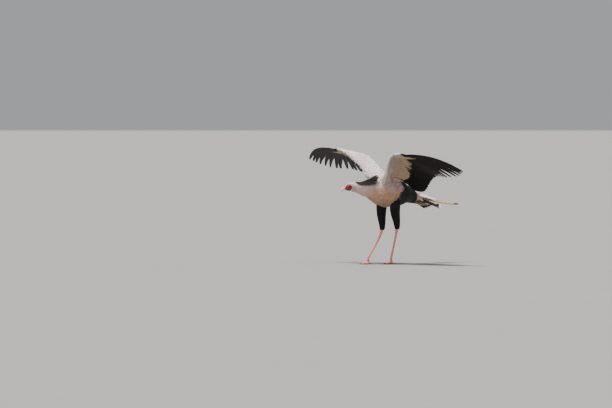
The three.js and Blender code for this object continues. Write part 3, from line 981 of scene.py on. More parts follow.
class SkinMap:
    """Finds places on the skin's own unwrap."""

    def __init__(self, skin: bpy.types.Object) -> None:
        """Reads the unwrap of each face of the skin.

        Args:
            skin: the finished skin.
        """
        mesh = skin.data
        self.tree = BVHTree.FromPolygons([v.co[:] for v in mesh.vertices],
                                         [p.vertices[:] for p in mesh.polygons])
        layer = mesh.uv_layers["OFBake"].data
        self.middles: Array = np.array([np.mean([layer[i].uv[:] for i in p.loop_indices], axis=0)
                                        for p in mesh.polygons])

    def patches(self, roots: Array, vane: Vane) -> Array:
        """Gives each feather a small patch of the unwrap at its root.

        Args:
            roots: where the feathers stand, in the frame.
            vane: their pattern.

        Returns:
            Places on the unwrap, feathers x vertices x 2.
        """
        faces = [self.tree.find_nearest(Vector(root))[2] for root in roots]
        own = np.column_stack([(vane.across + vane.face * 0.1) * 0.45, vane.along - 0.5]) * PATCH
        return np.clip(self.middles[faces][:, None, :] + own[None], 0.001, 0.999)


def strips(count: int, vane: Vane) -> Array:
    """Unwraps large feathers side by side, each whole in its own strip.

    Args:
        count: how many feathers there are.
        vane: their pattern.

    Returns:
        Places on the unwrap, feathers x vertices x 2.
    """
    row = 0.96 / count
    u = 0.02 + 0.96 * vane.along
    v = row * (0.5 + 0.2 * vane.across + 0.24 * np.where(vane.face < 0, -1, 1))
    return np.stack([np.column_stack([u, 0.02 + row * i + v]) for i in range(count)])


FIELD_KEYS = ("roots", "outward", "lie", "length", "width", "lift", "black", "painted_shade_underside")


@dataclass
class Field:
    """Where small feathers stand: roots, outward directions and the lie of the coat, in the layout."""

    roots: Array
    outward: Array
    lie: Array
    length: Array
    width: Array
    lift: Array
    black: Array
    painted_shade_underside: Array

    def keep(self, chosen: Array) -> "Field":
        """Leaves only chosen feathers."""
        return Field(*(getattr(self, key)[chosen] for key in FIELD_KEYS))


def joined(fields: Sequence[Field]) -> Field:
    """Puts fields together."""
    return Field(*(np.concatenate([getattr(f, key) for f in fields]) for key in FIELD_KEYS))


def sow(starts: Array, counts: Array, rng: np.random.Generator) -> tuple[Array, Array]:
    """Spreads feathers in staggered rows.

    Args:
        starts: where each row lies along it.
        counts: how many feathers each row has.
        rng: random numbers.

    Returns:
        Places along and round for each feather.
    """
    along, turn = [], []
    for row, (t, count) in enumerate(zip(starts, counts)):
        turn.append((np.arange(count) + 0.5 * (row % 2) + rng.uniform(-0.3, 0.3, count)) / count)
        along.append(np.full(count, t) + rng.uniform(-0.3, 0.3, count) * (starts[1] - starts[0]))
    return np.clip(np.concatenate(along), 0.001, 0.999), np.concatenate(turn) % 1


def surface_axes(point: Place, t: Array, turn: Array, middle: Array) -> tuple[Array, Array]:
    """Gives the outward direction and the direction of growing t at places on a surface.

    Args:
        point: gives the surface's points.
        t: places along it.
        turn: places round it.
        middle: points inside it, which tell outward from inward.

    Returns:
        The outward directions and the directions along.
    """
    step = 0.004
    along = point(np.clip(t + step, 0, 1), turn) - point(np.clip(t - step, 0, 1), turn)
    round_ = point(t, turn + step) - point(t, turn - step)
    outward = unit(np.cross(along, round_))
    flip = np.sign(np.sum(outward * (point(t, turn) - middle), axis=1, keepdims=True))
    return outward * np.where(flip == 0, 1, flip), unit(along)


class Barber:
    """Grows fields of small feathers into coats."""

    def __init__(self, layout: Layout, skin_map: SkinMap, rng: np.random.Generator) -> None:
        """Remembers what every coat needs.

        Args:
            layout: moves feathers into the frame.
            skin_map: finds their patches.
            rng: random numbers.
        """
        self.layout = layout
        self.skin_map = skin_map
        self.rng = rng
        self.vane = Vane(2, 5)

    def grow(self, name: str, stand: Field, material: bpy.types.Material, slot: Slots) -> bpy.types.Object:
        """Bends one feather to every root of a field and joins them.

        Args:
            name: the piece's name.
            stand: the field.
            material: the finish.
            slot: the record's slot.

        Returns:
            The coat.
        """
        vane, rng, count = self.vane, self.rng, len(stand.roots)
        lie = stand.lie + rng.normal(0, 0.10, (count, 3))
        lie = unit(lie - stand.outward * np.sum(lie * stand.outward, axis=1, keepdims=True))
        side = np.cross(stand.outward, lie)
        length = (stand.length * rng.uniform(0.85, 1.15, count))[:, None]
        width = (stand.width * rng.uniform(0.9, 1.1, count))[:, None]
        u, v = vane.along[None], vane.across[None]
        shape = np.sqrt(np.clip(1 - (2 * np.clip(u - 0.5, 0, 1))**2.2, 0, 1)) * np.minimum(1, 0.45 + 1.6 * u)
        hump = np.sin(np.pi * np.minimum(u, 1) ** 0.7) * 0.04 - 0.06 * u * u
        height = length * (hump + stand.lift[:, None] * u) - width * 0.13 * v * v * shape
        height = height + vane.face[None] * 0.18 * MM - 0.5 * MM * (1 - u)
        points = (stand.roots[:, None] + lie[:, None] * (length * u)[..., None]
                  + side[:, None] * (width * shape * v)[..., None]
                  + stand.outward[:, None] * height[..., None])
        coat = Coat(vane)
        roots = self.layout.place(stand.roots)
        kind = np.column_stack([stand.black, np.zeros(count), stand.painted_shade_underside])
        coat.add(self.layout.place(points.reshape(-1, 3)).reshape(points.shape), roots,
                 rng.random(count), kind, self.skin_map.patches(roots, vane))
        return register(coat.mesh(name), name, material, slot)


# The body

@dataclass
class Body:
    """The skin from the root of the tail to the bill, and the legs' and wings' flesh fused with it."""

    layout: Layout
    coat_depth: float = 7 * MM
    head_depth: float = 2.2 * MM
    shank_depth: float = 5 * MM
    arm_depth: float = 2.5 * MM
    shanks: dict[int, tuple[tuple[float, ...], ...]] = field(default_factory=lambda: {
        1: ((12, 58, 520), (-10, 60, 300)), -1: ((46, -58, 520), (40, -62, 292))})
    shank_sizes: tuple[tuple[float, ...], ...] = ((44, 56, 50), (36, 46, 42), (27, 31, 29), (21, 22, 22))

    def core(self) -> Tube:
        """Gives the one tube of tail root, torso, neck and head."""
        skull = tuple(tuple(p / MM) for p in on_head(SKULL))
        return spline_tube(Spline(SPINE + skull), Spline(SPINE_SIZES + SKULL_SIZES))

    def depth(self, t: Array) -> Array:
        """Gives how deep the skin lies under the coat at places along the core."""
        return mix(self.coat_depth, self.head_depth, ramp(0.56, 0.72, t))

    def shank(self, side: int) -> Tube:
        """Gives the tube of a feathered shank.

        Args:
            side: 1 for the left leg and -1 for the right.

        Returns:
            The tube.
        """
        hip, ankle = (np.array(p, float) for p in self.shanks[side])
        bend = mix(hip, ankle, 0.4) + np.array([6, 0, 0])
        path = Spline((tuple(hip), tuple(bend), tuple(mix(hip, ankle, 0.8)), tuple(ankle)))
        return spline_tube(path, Spline(self.shank_sizes), np.array([1.0, 0, 0]))

    def bare(self, points: Array) -> Array:
        """Tells how bare the facial skin is: 1 round the eye, 0 on feathers.

        Args:
            points: places in the layout.

        Returns:
            A share for each place.
        """
        p = off_head(points)
        reach = np.hypot((p[:, 0] - 22) / 31, p[:, 2] / 27)
        brow = ramp(4, 8, np.abs(p[:, 1]) + np.maximum(0, p[:, 0] - 38))
        return (1 - ramp(0.88, 1.02, reach)) * brow * (p[:, 0] > -20)

    def side_at(self, x: Array, z: Array) -> Array:
        """Gives how far the side of the skull lies from its middle plane, in the head's millimetres.

        Args:
            x: places along the head, in its millimetres.
            z: heights on the head.

        Returns:
            The distances.
        """
        xs, _, middles = np.array(SKULL).T
        wide, above, below = np.array(SKULL_SIZES, float).T
        rise = z - np.interp(x, xs, middles)
        tall = np.where(rise > 0, np.interp(x, xs, above), np.interp(x, xs, below))
        return np.interp(x, xs, wide) * np.sqrt(np.clip(1 - (rise / tall)**2, 0, 1))

    def skin_surface(self) -> bmesh.types.BMesh:
        """Makes the loft from the tail to the bill, with sockets, brows and the line of the mouth.

        Returns:
            The closed surface.
        """
        core = self.core()

        def place(turn: Array, along: Array) -> Array:
            """Runs along the core, in short steps on the head."""
            t = np.interp(along, [0, 0.48, 1], [0, 0.66, 0.985])
            return self.carve(core.point(t, turn, self.depth(t)))

        return shaped(72, 190, place)

    def carve(self, points: Array) -> Array:
        """Presses eye sockets and the gape into the skull and raises the brow.

        Args:
            points: places on the skin, in the layout.

        Returns:
            The places after carving.
        """
        p = off_head(points)
        still = p[:, 0] < -30
        kept = points[still]
        for side in (1, -1):
            centre = np.array([EYE[0], side * EYE[1], EYE[2]])
            away = p - centre
            reach = np.hypot(away[:, 0], away[:, 2])
            near = (1 - ramp(6, 10.5, reach)) * (p[:, 1] * side > 6)
            p[:, 1] -= side * 5.0 * near
            brow = np.exp(-((away[:, 0] + 1) / 12)**2 - ((away[:, 2] - 12.5) / 3.6)**2)
            p[:, 1] += side * 2.4 * (brow * (p[:, 1] * side > 5))
            gape = np.exp(-((p[:, 2] + 6.4 + 0.14 * (37 - p[:, 0])) / 1.4)**2) * ramp(19, 25, p[:, 0])
            p[:, 1] -= side * 1.5 * gape * (p[:, 1] * side > 3)
        carved = on_head(p)
        carved[still] = kept
        return carved

    def build(self, material: bpy.types.Material, wings: Sequence[WingShape]) -> bpy.types.Object:
        """Fuses torso, neck, head, wings and shanks into one skin and unwraps it.

        Args:
            material: the finish of skin and coat.
            wings: the shapes of both wings.

        Returns:
            The skin.
        """
        parts = [self.skin_surface()]
        for wing in wings:
            parts.append(shaped(28, 40, lambda turn, t, w=wing: w.place(w.flesh(t, turn, self.arm_depth))))
        for side in (1, -1):
            shank = self.shank(side)
            parts.append(shaped(32, 30, lambda turn, t, s=shank: s.point(t * 0.97, turn, self.shank_depth)))
        pieces = []
        for bm in parts:
            mesh = bpy.data.meshes.new("flesh")
            bm.to_mesh(mesh)
            bm.free()
            moved = self.layout.place(vertex_points(mesh))
            mesh.vertices.foreach_set("co", moved.astype(np.float32).ravel())
            pieces.append(bpy.data.objects.new("flesh", mesh))
            bpy.context.scene.collection.objects.link(pieces[-1])
        first = pieces[0]
        for other in pieces[1:]:
            cut = first.modifiers.new("fuse", "BOOLEAN")
            cut.operation, cut.solver, cut.object = "UNION", "EXACT", other
        graph = bpy.context.evaluated_depsgraph_get()
        mesh = bpy.data.meshes.new_from_object(first.evaluated_get(graph))
        for piece in pieces:
            bpy.data.objects.remove(piece)
        for layer in [a.name for a in mesh.attributes if a.name.startswith("flat_")]:
            mesh.attributes.remove(mesh.attributes[layer])
        points = vertex_points(mesh)
        write_points(mesh, "root", points)
        write_points(mesh, "vane", np.tile([0.3, 0.5, 0.5], (len(points), 1)))
        nodes = ["torso", "neck", "head", "tail"] + [f"shank_{s}" for s in ("left", "right")]
        skin = register(mesh, "skin", material, Slots.GREY, nodes)
        self.unwrap(skin)
        return skin

    def mark(self, skin: bpy.types.Object, coat: Field) -> None:
        """Gives the skin the markings of the feathers that stand on it, and the painted shade of the wings'
        undersides.

        Args:
            skin: the skin.
            coat: all small feathers, in the layout.
        """
        tree = KDTree(len(coat.roots))
        for index, root in enumerate(coat.roots):
            tree.insert(root, index)
        tree.balance()
        points = vertex_points(skin.data) - self.layout.shift
        near = [tree.find(point)[1] for point in points]
        kind = np.column_stack([coat.black[near], self.bare(points), coat.painted_shade_underside[near]])
        write_points(skin.data, "kind", kind)

    def unwrap(self, skin: bpy.types.Object) -> None:
        """Unwraps the skin by its own shape.

        Args:
            skin: the skin.
        """
        skin.data.uv_layers.new(name="OFBake")
        bpy.context.view_layer.objects.active = skin
        skin.select_set(True)
        bpy.ops.object.mode_set(mode="EDIT")
        bpy.ops.mesh.select_all(action="SELECT")
        bpy.ops.uv.smart_project(angle_limit=math.radians(66), island_margin=0.003)
        bpy.ops.object.mode_set(mode="OBJECT")
        skin.select_set(False)


def parted(stand: Field, names: Sequence[str], places: Array, cuts: Sequence[float]) -> tuple:
    """Parts a field at `cuts` in `places`, a number for each feather, into named pieces of a fair size."""
    piece = np.searchsorted(cuts, places)
    return tuple((name, stand.keep(piece == index)) for index, name in enumerate(names))


def fading(places: Sequence[float], millimetres: Sequence[float]) -> Callable[[float], float]:
    """Gives a distance in metres that changes along a tube."""
    return lambda t: float(np.interp(t, places, millimetres)) * MM


@dataclass
class BodyCoat:
    """Small feathers over torso, neck, head, shanks and the wings' flesh."""

    body: Body
    wings: Sequence[WingShape]
    barber: Barber
    torso_span: tuple[float, float] = (0.015, 0.695)
    head_span: tuple[float, float] = (0.695, 0.965)
    shank_span: tuple[float, float] = (0.02, 0.955)
    shank_gap: float = 5.6 * MM
    arm_rows: int = 66
    arm_gap: float = 7.0 * MM
    bare_limit: float = 0.7

    def along_tube(self, tube: Tube, span: tuple[float, float], gap: Callable, inset: Callable,
                   downhill: bool) -> tuple[Array, Array, Array, Array, Array]:
        """Sows rows along a tube.

        Args:
            tube: the surface.
            span: first and last place along it.
            gap: distance between feathers, in metres, at a place along it.
            inset: how deep the skin lies at a place along it.
            downhill: whether the coat lies towards growing t.

        Returns:
            Roots, outward directions, lie, places along and places round.
        """
        rows, length = [span[0]], tube.length()
        while rows[-1] < span[1]:
            rows.append(rows[-1] + 0.8 * gap(rows[-1]) / length)
        starts = np.array(rows[:-1])
        girth = np.array([3.14 * (s[0] * 2 + s[1] + s[2]) / 2 for s in tube.sizes(starts)])
        counts = np.maximum(6, (girth / np.array([gap(t) for t in starts])).astype(int))
        t, turn = sow(starts, counts, self.barber.rng)
        roots = tube.point(t, turn, inset(t))
        middle = tube.path(t)
        outward, along = surface_axes(tube.point, t, turn, middle)
        ahead = unit(tube.path(np.minimum(t + 0.01, 1)) - tube.path(np.maximum(t - 0.01, 0)))
        folded = np.sum(along * ahead, axis=1) < 0.4
        outward[folded], along[folded] = unit(roots - middle)[folded], ahead[folded]
        return roots, outward, along if downhill else -along, t, turn

    def torso(self) -> Field:
        """Covers the root of the tail, torso and neck, with ever smaller feathers towards the head.

        Returns:
            The field.
        """
        gap = fading((0, 0.10, 0.38, 0.51, 0.68), (7.5, 8.6, 8.6, 6.2, 4.0))
        roots, outward, lie, t, turn = self.along_tube(self.body.core(), self.torso_span, gap,
                                                       self.body.depth, False)
        length = np.interp(t, [0, 0.085, 0.21, 0.38, 0.50, 0.68], [75, 62, 42, 36, 27, 17]) * MM
        width = np.interp(t, [0, 0.10, 0.38, 0.50, 0.68], [10.5, 10, 9.2, 6.8, 4.4]) * MM
        under = np.sin(TAU * turn) < -0.2
        lift = np.where(under & (t < 0.25), 0.22, 0.16) + np.where(under & (t > 0.34) & (t < 0.6), 0.09, 0)
        return Field(roots, outward, lie, length, width, lift, np.zeros(len(t)), np.zeros(len(t)))

    def head(self) -> Field:
        """Covers the head outside the bare face.

        Returns:
            The field.
        """
        gap = fading((0.695, 0.76, 1), (3.8, 2.9, 2.5))
        roots, outward, lie, t, turn = self.along_tube(self.body.core(), self.head_span, gap,
                                                       self.body.depth, False)
        roots = self.body.carve(roots)
        length = np.interp(t, [0.695, 0.76, 0.86, 0.96], [16, 12, 8, 4.5]) * MM
        width = np.interp(t, [0.695, 0.83, 0.96], [4.2, 2.9, 1.8]) * MM
        stand = Field(roots, outward, lie, length, width, np.where(np.sin(TAU * turn) < 0, 0.1, 0.18),
                      np.zeros(len(t)), np.zeros(len(t)))
        return stand.keep(self.body.bare(roots) < self.bare_limit)

    def shanks(self) -> Field:
        """Covers both shanks with long black feathers that hang over the ankle.

        Returns:
            The field.
        """
        fields = []
        for side in (1, -1):
            roots, outward, lie, t, _ = self.along_tube(
                self.body.shank(side), self.shank_span, lambda t: self.shank_gap,
                lambda t: np.full(len(t), self.body.shank_depth), True)
            length = np.interp(t, [0, 0.8, 1], [38, 28, 18]) * MM
            fields.append(Field(roots, outward, lie, length, np.full(len(t), 5.5 * MM),
                                np.interp(t, [0, 0.6, 1], [0.15, 0.2, 0.2]), np.ones(len(t)),
                                np.zeros(len(t))))
        return joined(fields)

    def arms(self) -> Field:
        """Covers the flesh of the wings, above and below, with lesser coverts.

        Returns:
            The field.
        """
        fields = []
        for wing in self.wings:
            starts = np.linspace(0.03, 0.985, self.arm_rows)
            widths = np.linalg.norm(wing.leading.at(starts) - wing.rear.at(starts), axis=1)
            counts = np.maximum(9, (widths * 2 / self.arm_gap).astype(int))
            t, turn = sow(starts, counts, self.barber.rng)
            roots = wing.flesh(t, turn, self.body.arm_depth)
            rear = (1 - np.cos(TAU * turn)) / 2
            outward, _ = surface_axes(wing.flesh, t, turn, mix(wing.leading.at(t), wing.rear.at(t), 0.5))
            chord = unit(wing.rear.at(t) - wing.leading.at(t))
            index = wing.index_at(t)
            fan = unit(wing.surface(index, np.full(len(t), 0.3)) - wing.surface(index, np.zeros(len(t))))
            lie = unit(mix(chord, fan, (0.35 + 0.6 * rear)[:, None]))
            length = np.interp(t, [0, 0.5, 1], [36, 27, 20]) * MM
            length = length * np.interp(rear, [0, 0.2, 1], [0.5, 0.8, 1.1])
            width = np.interp(t, [0, 1], [9.0, 6.0]) * MM * np.interp(rear, [0, 0.2], [0.6, 1])
            # painted shade: coverts on the arms' undersides are marked for a dark brown colour
            painted_shade_underside = np.where(np.sin(TAU * turn) < np.interp(rear, [0, 0.3, 1], [-0.3, 0, 0.5]), 0.9, 0.0)
            fields.append(Field(wing.place(roots), wing.turn(outward), wing.turn(lie), length, width,
                                np.full(len(t), 0.19), ramp(0.86, 0.90, t), painted_shade_underside))
        return joined(fields)


# Large feathers

@dataclass
class Feather:
    """One large feather: its midline and the directions across it, for an array of places along it."""

    line: Callable[[Array], tuple[Array, Array, Array]]
    lead: float
    trail: float
    pointed: float = 0.4
    slim: float = 0.0
    tilt: float = 0.0
    thick: float = 0.5 * MM
    shaft: float = 1.1 * MM
    notches: int = 2


class Plumes:
    """Builds large feathers, each bent along its own line, into one piece."""

    COLUMNS = (-1, -0.82, -0.6, -0.36, -0.12, -0.028, 0.028, 0.12, 0.36, 0.6, 0.82, 1)

    def __init__(self, layout: Layout, rng: np.random.Generator, rows: int = 44) -> None:
        """Cuts the pattern feather, with a narrow strip for its shaft.

        Args:
            layout: moves feathers into the frame.
            rng: random numbers.
            rows: faces along each feather.
        """
        self.layout = layout
        self.rng = rng
        self.vane = Vane(len(self.COLUMNS) - 1, rows)
        stops = np.linspace(-1, 1, len(self.COLUMNS))
        self.vane.across = np.interp(self.vane.across, stops, self.COLUMNS)

    def bend(self, feather: Feather) -> Array:
        """Gives a feather's vertices in the layout.

        Args:
            feather: what to build.

        Returns:
            One row for each vertex.
        """
        vane, rng = self.vane, self.rng
        t, v = vane.along, vane.across
        middle, outward, up = feather.line(t)
        body = np.sqrt(np.clip(1 - ramp(0.5, 1.0, t) * (1 - feather.pointed**2), 0, 1))
        tip = np.sqrt(np.clip(1 - np.clip((t - 0.93) / 0.07, 0, 1)**2, 0, 1))
        slim = 1 - feather.slim * ramp(0.42, 0.66, t)
        root = mix(0.25, 1, ramp(0, 0.28, t))
        width = np.where(v > 0, feather.lead, feather.trail * slim) * body * tip * root
        split = np.ones(len(t))
        for place in rng.uniform(0.45, 0.95, feather.notches):
            side = rng.choice([-1, 1])
            split -= 0.35 * np.exp(-((t - place) / 0.008)**2) * (np.abs(v) > 0.7) * (np.sign(v) == side)
        y = v * width * split
        on_shaft = np.abs(v) < 0.05
        shaft = feather.shaft * (1 - 0.85 * t)
        y = np.where(on_shaft, np.sign(v) * shaft * 0.9, y)
        height = vane.face * np.where(on_shaft, np.maximum(shaft, 0.2 * MM), feather.thick / 2)
        camber = -(0.10 * (np.abs(y)**2) / max(feather.trail, 1e-4))
        return middle + outward * y[:, None] + up * (height + camber + feather.tilt * y)[:, None]

    def build(self, name: str, feathers: Sequence[Feather], material: bpy.types.Material, slot: Slots,
              nodes: Sequence[str] = ()) -> bpy.types.Object:
        """Joins the feathers into one piece.

        Args:
            name: the piece's name.
            feathers: what to build.
            material: the finish.
            slot: the record's slot.
            nodes: the nodes that it stands for.

        Returns:
            The piece.
        """
        coat = Coat(self.vane)
        points = np.stack([self.layout.place(self.bend(f)) for f in feathers])
        count = len(feathers)
        coat.add(points, points[:, 0], self.rng.random(count), np.zeros((count, 3)),
                 strips(count, self.vane))
        return register(coat.mesh(name), name, material, slot, nodes)


@dataclass
class Tier:
    """A row of wing feathers between two indices, that reach part of the way along the flight feathers."""

    first: float
    last: float
    count: int
    reach: float
    lift: float
    lead: float
    trail: float
    pointed: float = 0.6
    reach_in: float | None = None


@dataclass
class Wing:
    """Flight feathers, coverts and alula of one wing."""

    shape: WingShape
    plumes: Plumes
    small: Plumes
    name: str

    def line(self, index: float, start: float, reach: float, lift: float) -> Callable:
        """Gives the midline and directions of a feather on the wing's surface.

        Args:
            index: the feather's number.
            start: where it starts on the wing's surface, 0 to 1.
            reach: where it ends.
            lift: its height over the surface, in millimetres.

        Returns:
            A function of places along the feather, 0 to 1.
        """
        shape = self.shape

        def follow(t: Array) -> tuple[Array, Array, Array]:
            """Goes along the feather.

            Args:
                t: places along it.

            Returns:
                Its midline, outward and upward directions.
            """
            spot = mix(start, reach, t)
            at = np.full(len(t), index)
            _, outward, up = shape.frame(at, spot)
            middle = shape.surface(at, spot) + up * (lift * MM * ramp(-0.4, 0.4, t))[:, None]
            return shape.place(middle), shape.turn(outward), shape.turn(up)

        return follow

    def flight(self, first: int, last: int) -> list[Feather]:
        """Gives flight feathers `first` up to before `last`.

        Args:
            first: the first feather's number.
            last: the number after the last.

        Returns:
            The feathers.
        """
        feathers = []
        for i in range(first, last):
            stray = float(self.plumes.rng.uniform(-0.16, 0.16)) if i else 0.0
            outer = float(ramp(0, self.shape.primaries, i))
            primary = i < self.shape.primaries
            feathers.append(Feather(
                self.line(i + stray, 0.0, 1.0, 0.0), mix(13, 17, outer) * MM, mix(34, 33, outer) * MM,
                0.46 if primary else 0.66, 0.16 if i < 6 else 0.0, self.shape.shingle,
                0.6 * MM, (1.9 if primary else 1.4) * MM, 2 if primary else 1))
        return feathers

    def tier(self, t: Tier) -> list[Feather]:
        """Gives one row of coverts.

        Args:
            t: the row.

        Returns:
            Its feathers.
        """
        rng = self.small.rng
        shares = np.linspace(0, 1, t.count)
        reaches = mix(t.reach, t.reach_in or t.reach, shares) * rng.uniform(0.96, 1.04, t.count)
        return [Feather(self.line(mix(t.first, t.last, share), 0.0, reach, t.lift), t.lead * MM,
                        t.trail * MM, t.pointed, 0.0, self.shape.shingle, 0.5 * MM, 0.7 * MM, 1)
                for share, reach in zip(shares, reaches)]

    def rows(self, tiers: Sequence[Tier]) -> list[Feather]:
        """Gives the feathers of several rows."""
        return [feather for tier in tiers for feather in self.tier(tier)]

    def build(self, finishes: dict[str, bpy.types.Material]) -> None:
        """Builds the tiers, several to a piece.

        Args:
            finishes: the shared finishes by name.
        """
        shape = self.shape
        total = shape.primaries + shape.secondaries + shape.tertials
        inner = shape.primaries + 0.2
        self.plumes.build(f"primaries_{self.name}", self.flight(0, shape.primaries), finishes["remex"],
                          Slots.FLIGHT, [f"wing_{self.name}_hand"])
        self.plumes.build(f"secondaries_{self.name}", self.flight(shape.primaries, total), finishes["remex"],
                          Slots.WING, [f"wing_{self.name}_arm"])
        above = [Tier(inner, total - 1, 15, 0.46, 4.5, 14, 20), Tier(inner, total - 1, 17, 0.33, 7, 13, 18),
                 Tier(inner, total - 0.8, 19, 0.22, 9.5, 12, 16)]
        below = [Tier(inner, total + 0.4, 20, 0.42, -4.5, 15, 21, 0.7, 0.52),
                 Tier(inner, total + 0.4, 20, 0.32, -6.5, 14, 19, 0.7, 0.40),
                 Tier(inner, total + 0.4, 20, 0.20, -8, 13, 17, 0.7, 0.3)]
        hand_above = [Tier(0.3, shape.primaries - 0.8, 10, 0.34, 4, 9, 13, 0.5)]
        hand_lesser = [Tier(5.5, shape.primaries + 0.2, 7, 0.2, 6, 8, 11, 0.6)]
        hand_below = [Tier(4.4, shape.primaries + 0.2, 7, 0.3, -4, 9, 14, 0.5),
                      Tier(3.6, shape.primaries + 0.2, 9, 0.17, -5.5, 8, 12, 0.6)]
        tip_below = [Tier(0.3, 3.8, 5, 0.28, -4, 9, 14, 0.5), Tier(0.3, 3.2, 5, 0.16, -5.5, 8, 12, 0.6)]
        self.small.build(f"coverts_above_{self.name}", self.rows(above + hand_lesser), finishes["covert"],
                         Slots.WING)
        # the coverts under the wings take a dark brown finish that is painted shade
        self.small.build(f"coverts_below_{self.name}", self.rows(below + hand_below), finishes["painted_shade_lining"],
                         Slots.WING)
        self.small.build(f"primary_coverts_{self.name}", self.rows(hand_above + tip_below) + self.alula(),
                         finishes["remex"], Slots.FLIGHT)

    def alula(self) -> list[Feather]:
        """Gives the three stiff feathers of the thumb, at the wrist's leading edge.

        Returns:
            The feathers.
        """
        shape = self.shape
        feathers = []
        for k, length in enumerate((0.100, 0.086, 0.070)):
            root = mix(shape.leading.at(0.70), shape.bone.at(0.70), 0.15 + 0.22 * k)[0]
            end = mix(shape.leading.at(1.0), shape.bone.at(1.0), 0.25 + 0.2 * k)[0]
            aim = unit(end - root + np.array([-0.006, 0, -0.001]))
            up = unit(np.cross(shape.frame(np.array([2.0]), np.array([0.1]))[1][0], aim))
            up = up if up[2] > 0 else -up

            def follow(t: Array, root: Array = root, aim: Array = aim, up: Array = up,
                       length: float = length, k: int = k) -> tuple[Array, Array, Array]:
                """Goes along the feather.

                Args:
                    t: places along it.
                    root: its root.
                    aim: its direction.
                    up: the direction away from the wing.
                    length: its length.
                    k: its number, from the longest.

                Returns:
                    Its midline, outward and upward directions.
                """
                rise = (4 + 1.2 * k) * MM * ramp(-0.3, 0.5, t)
                middle = root + aim * (length * t)[:, None] + up * rise[:, None]
                across, above = (np.broadcast_to(shape.turn(v[None]), (len(t), 3))
                                 for v in (unit(np.cross(aim, up)), up))
                return shape.place(middle), across, above

            feathers.append(Feather(follow, 7 * MM, 9 * MM, 0.45, 0.0, 0.05, 0.5 * MM, 0.9 * MM, 1))
        return feathers


@dataclass
class Tail:
    """Twelve tail feathers, the middle two very long, and the long coverts over and under them."""

    plumes: Plumes
    small: Plumes
    pairs: int = 6
    coverts: int = 9
    long_tip: tuple[float, float, float] = (-823, 12, 481)

    def straight(self, root: Array, tip: Array, bow: float, tilt: float = 0.0) -> Callable:
        """Gives a midline from root to tip that bows up or down by `bow` millimetres.

        Args:
            root: where it starts, in millimetres.
            tip: where it ends, in millimetres.
            bow: how far its middle rises.
            tilt: how much its left edge rises for each unit across.

        Returns:
            A function of places along the feather, 0 to 1.
        """
        root, tip = root * MM, tip * MM
        control = (root + tip) / 2 + np.array([0, 0, 2 * bow * MM])

        def follow(t: Array) -> tuple[Array, Array, Array]:
            """Goes along the feather.

            Args:
                t: places along it.

            Returns:
                Its midline, outward and upward directions.
            """
            s = t[:, None]
            middle = root * (1 - s)**2 + control * 2 * s * (1 - s) + tip * s * s
            side = unit(np.array([0, 1.0, tilt]))
            up = unit(np.array([0.2, -tilt, 1.0]))
            return middle, np.broadcast_to(side, middle.shape), np.broadcast_to(up, middle.shape)

        return follow

    def build(self, finishes: dict[str, bpy.types.Material]) -> None:
        """Builds the long pair, the short feathers and the coverts.

        Args:
            finishes: the shared finishes by name.
        """
        rng = self.small.rng
        long, central, outer, above, below = [], [], [], [], []
        for side in (1, -1):
            tip = np.array([self.long_tip[0], side * self.long_tip[1], self.long_tip[2] + 2 * side])
            root = np.array([-246, side * 5, 573])
            long.append(Feather(self.straight(root, tip, -15, -0.4 * side), 17 * MM, 17 * MM, 0.62, 0.0, 0,
                                0.7 * MM, 1.9 * MM, 4))
            for pair in range(1, self.pairs):
                out = pair / (self.pairs - 1)
                root = np.array([-246, side * mix(5, 24, out), mix(573, 556, out)])
                tip = np.array([mix(-575, -500, out), side * mix(16, 84, out), mix(486, 452, out)])
                tier = central if pair < 3 else outer
                tilt = -side * mix(0.35, 0.95, out)
                tier.append(Feather(self.straight(root, tip, mix(-12, 3, out), tilt), 20 * MM, 20 * MM,
                                    0.7, 0.0, 0, 0.6 * MM, 1.4 * MM, 2))
        for row, (reach, top, low) in enumerate(((235, 542, 478), (180, 555, 486), (120, 568, 500))):
            for out in np.linspace(-1, 1, self.coverts):
                jitter = rng.uniform(-6, 6, 3)
                root = np.array([-238, out * 30, 578 + 3 * row - 10 * abs(out)])
                tip = np.array([-250 - reach, out * 44, top - 20 * abs(out)]) + jitter
                above.append(Feather(self.straight(root, tip, 5, -1.1 * out), 14 * MM, 14 * MM, 0.7, 0, 0,
                                     0.4 * MM, 0.6 * MM))
                root = np.array([-238, out * 34, 530 - 8 * row])
                tip = np.array([-235 - 0.75 * reach, out * 42, low - 4 + 8 * abs(out)]) + jitter
                below.append(Feather(self.straight(root, tip, -5), 13 * MM, 13 * MM, 0.7, 0, 0,
                                     0.4 * MM, 0.6 * MM))
        self.plumes.build("tail_long", long, finishes["tail_long"], Slots.TAIL)
        self.plumes.build("tail_central", central, finishes["tail_central"], Slots.TAIL)
        self.plumes.build("tail_outer", outer, finishes["tail_outer"], Slots.TAIL)
        self.small.build("tail_coverts_above", above, finishes["rump"], Slots.TAIL)
        # the coverts under the tail take a dark finish that is painted shade
        self.small.build("tail_coverts_below", below, finishes["vent"], Slots.TAIL)


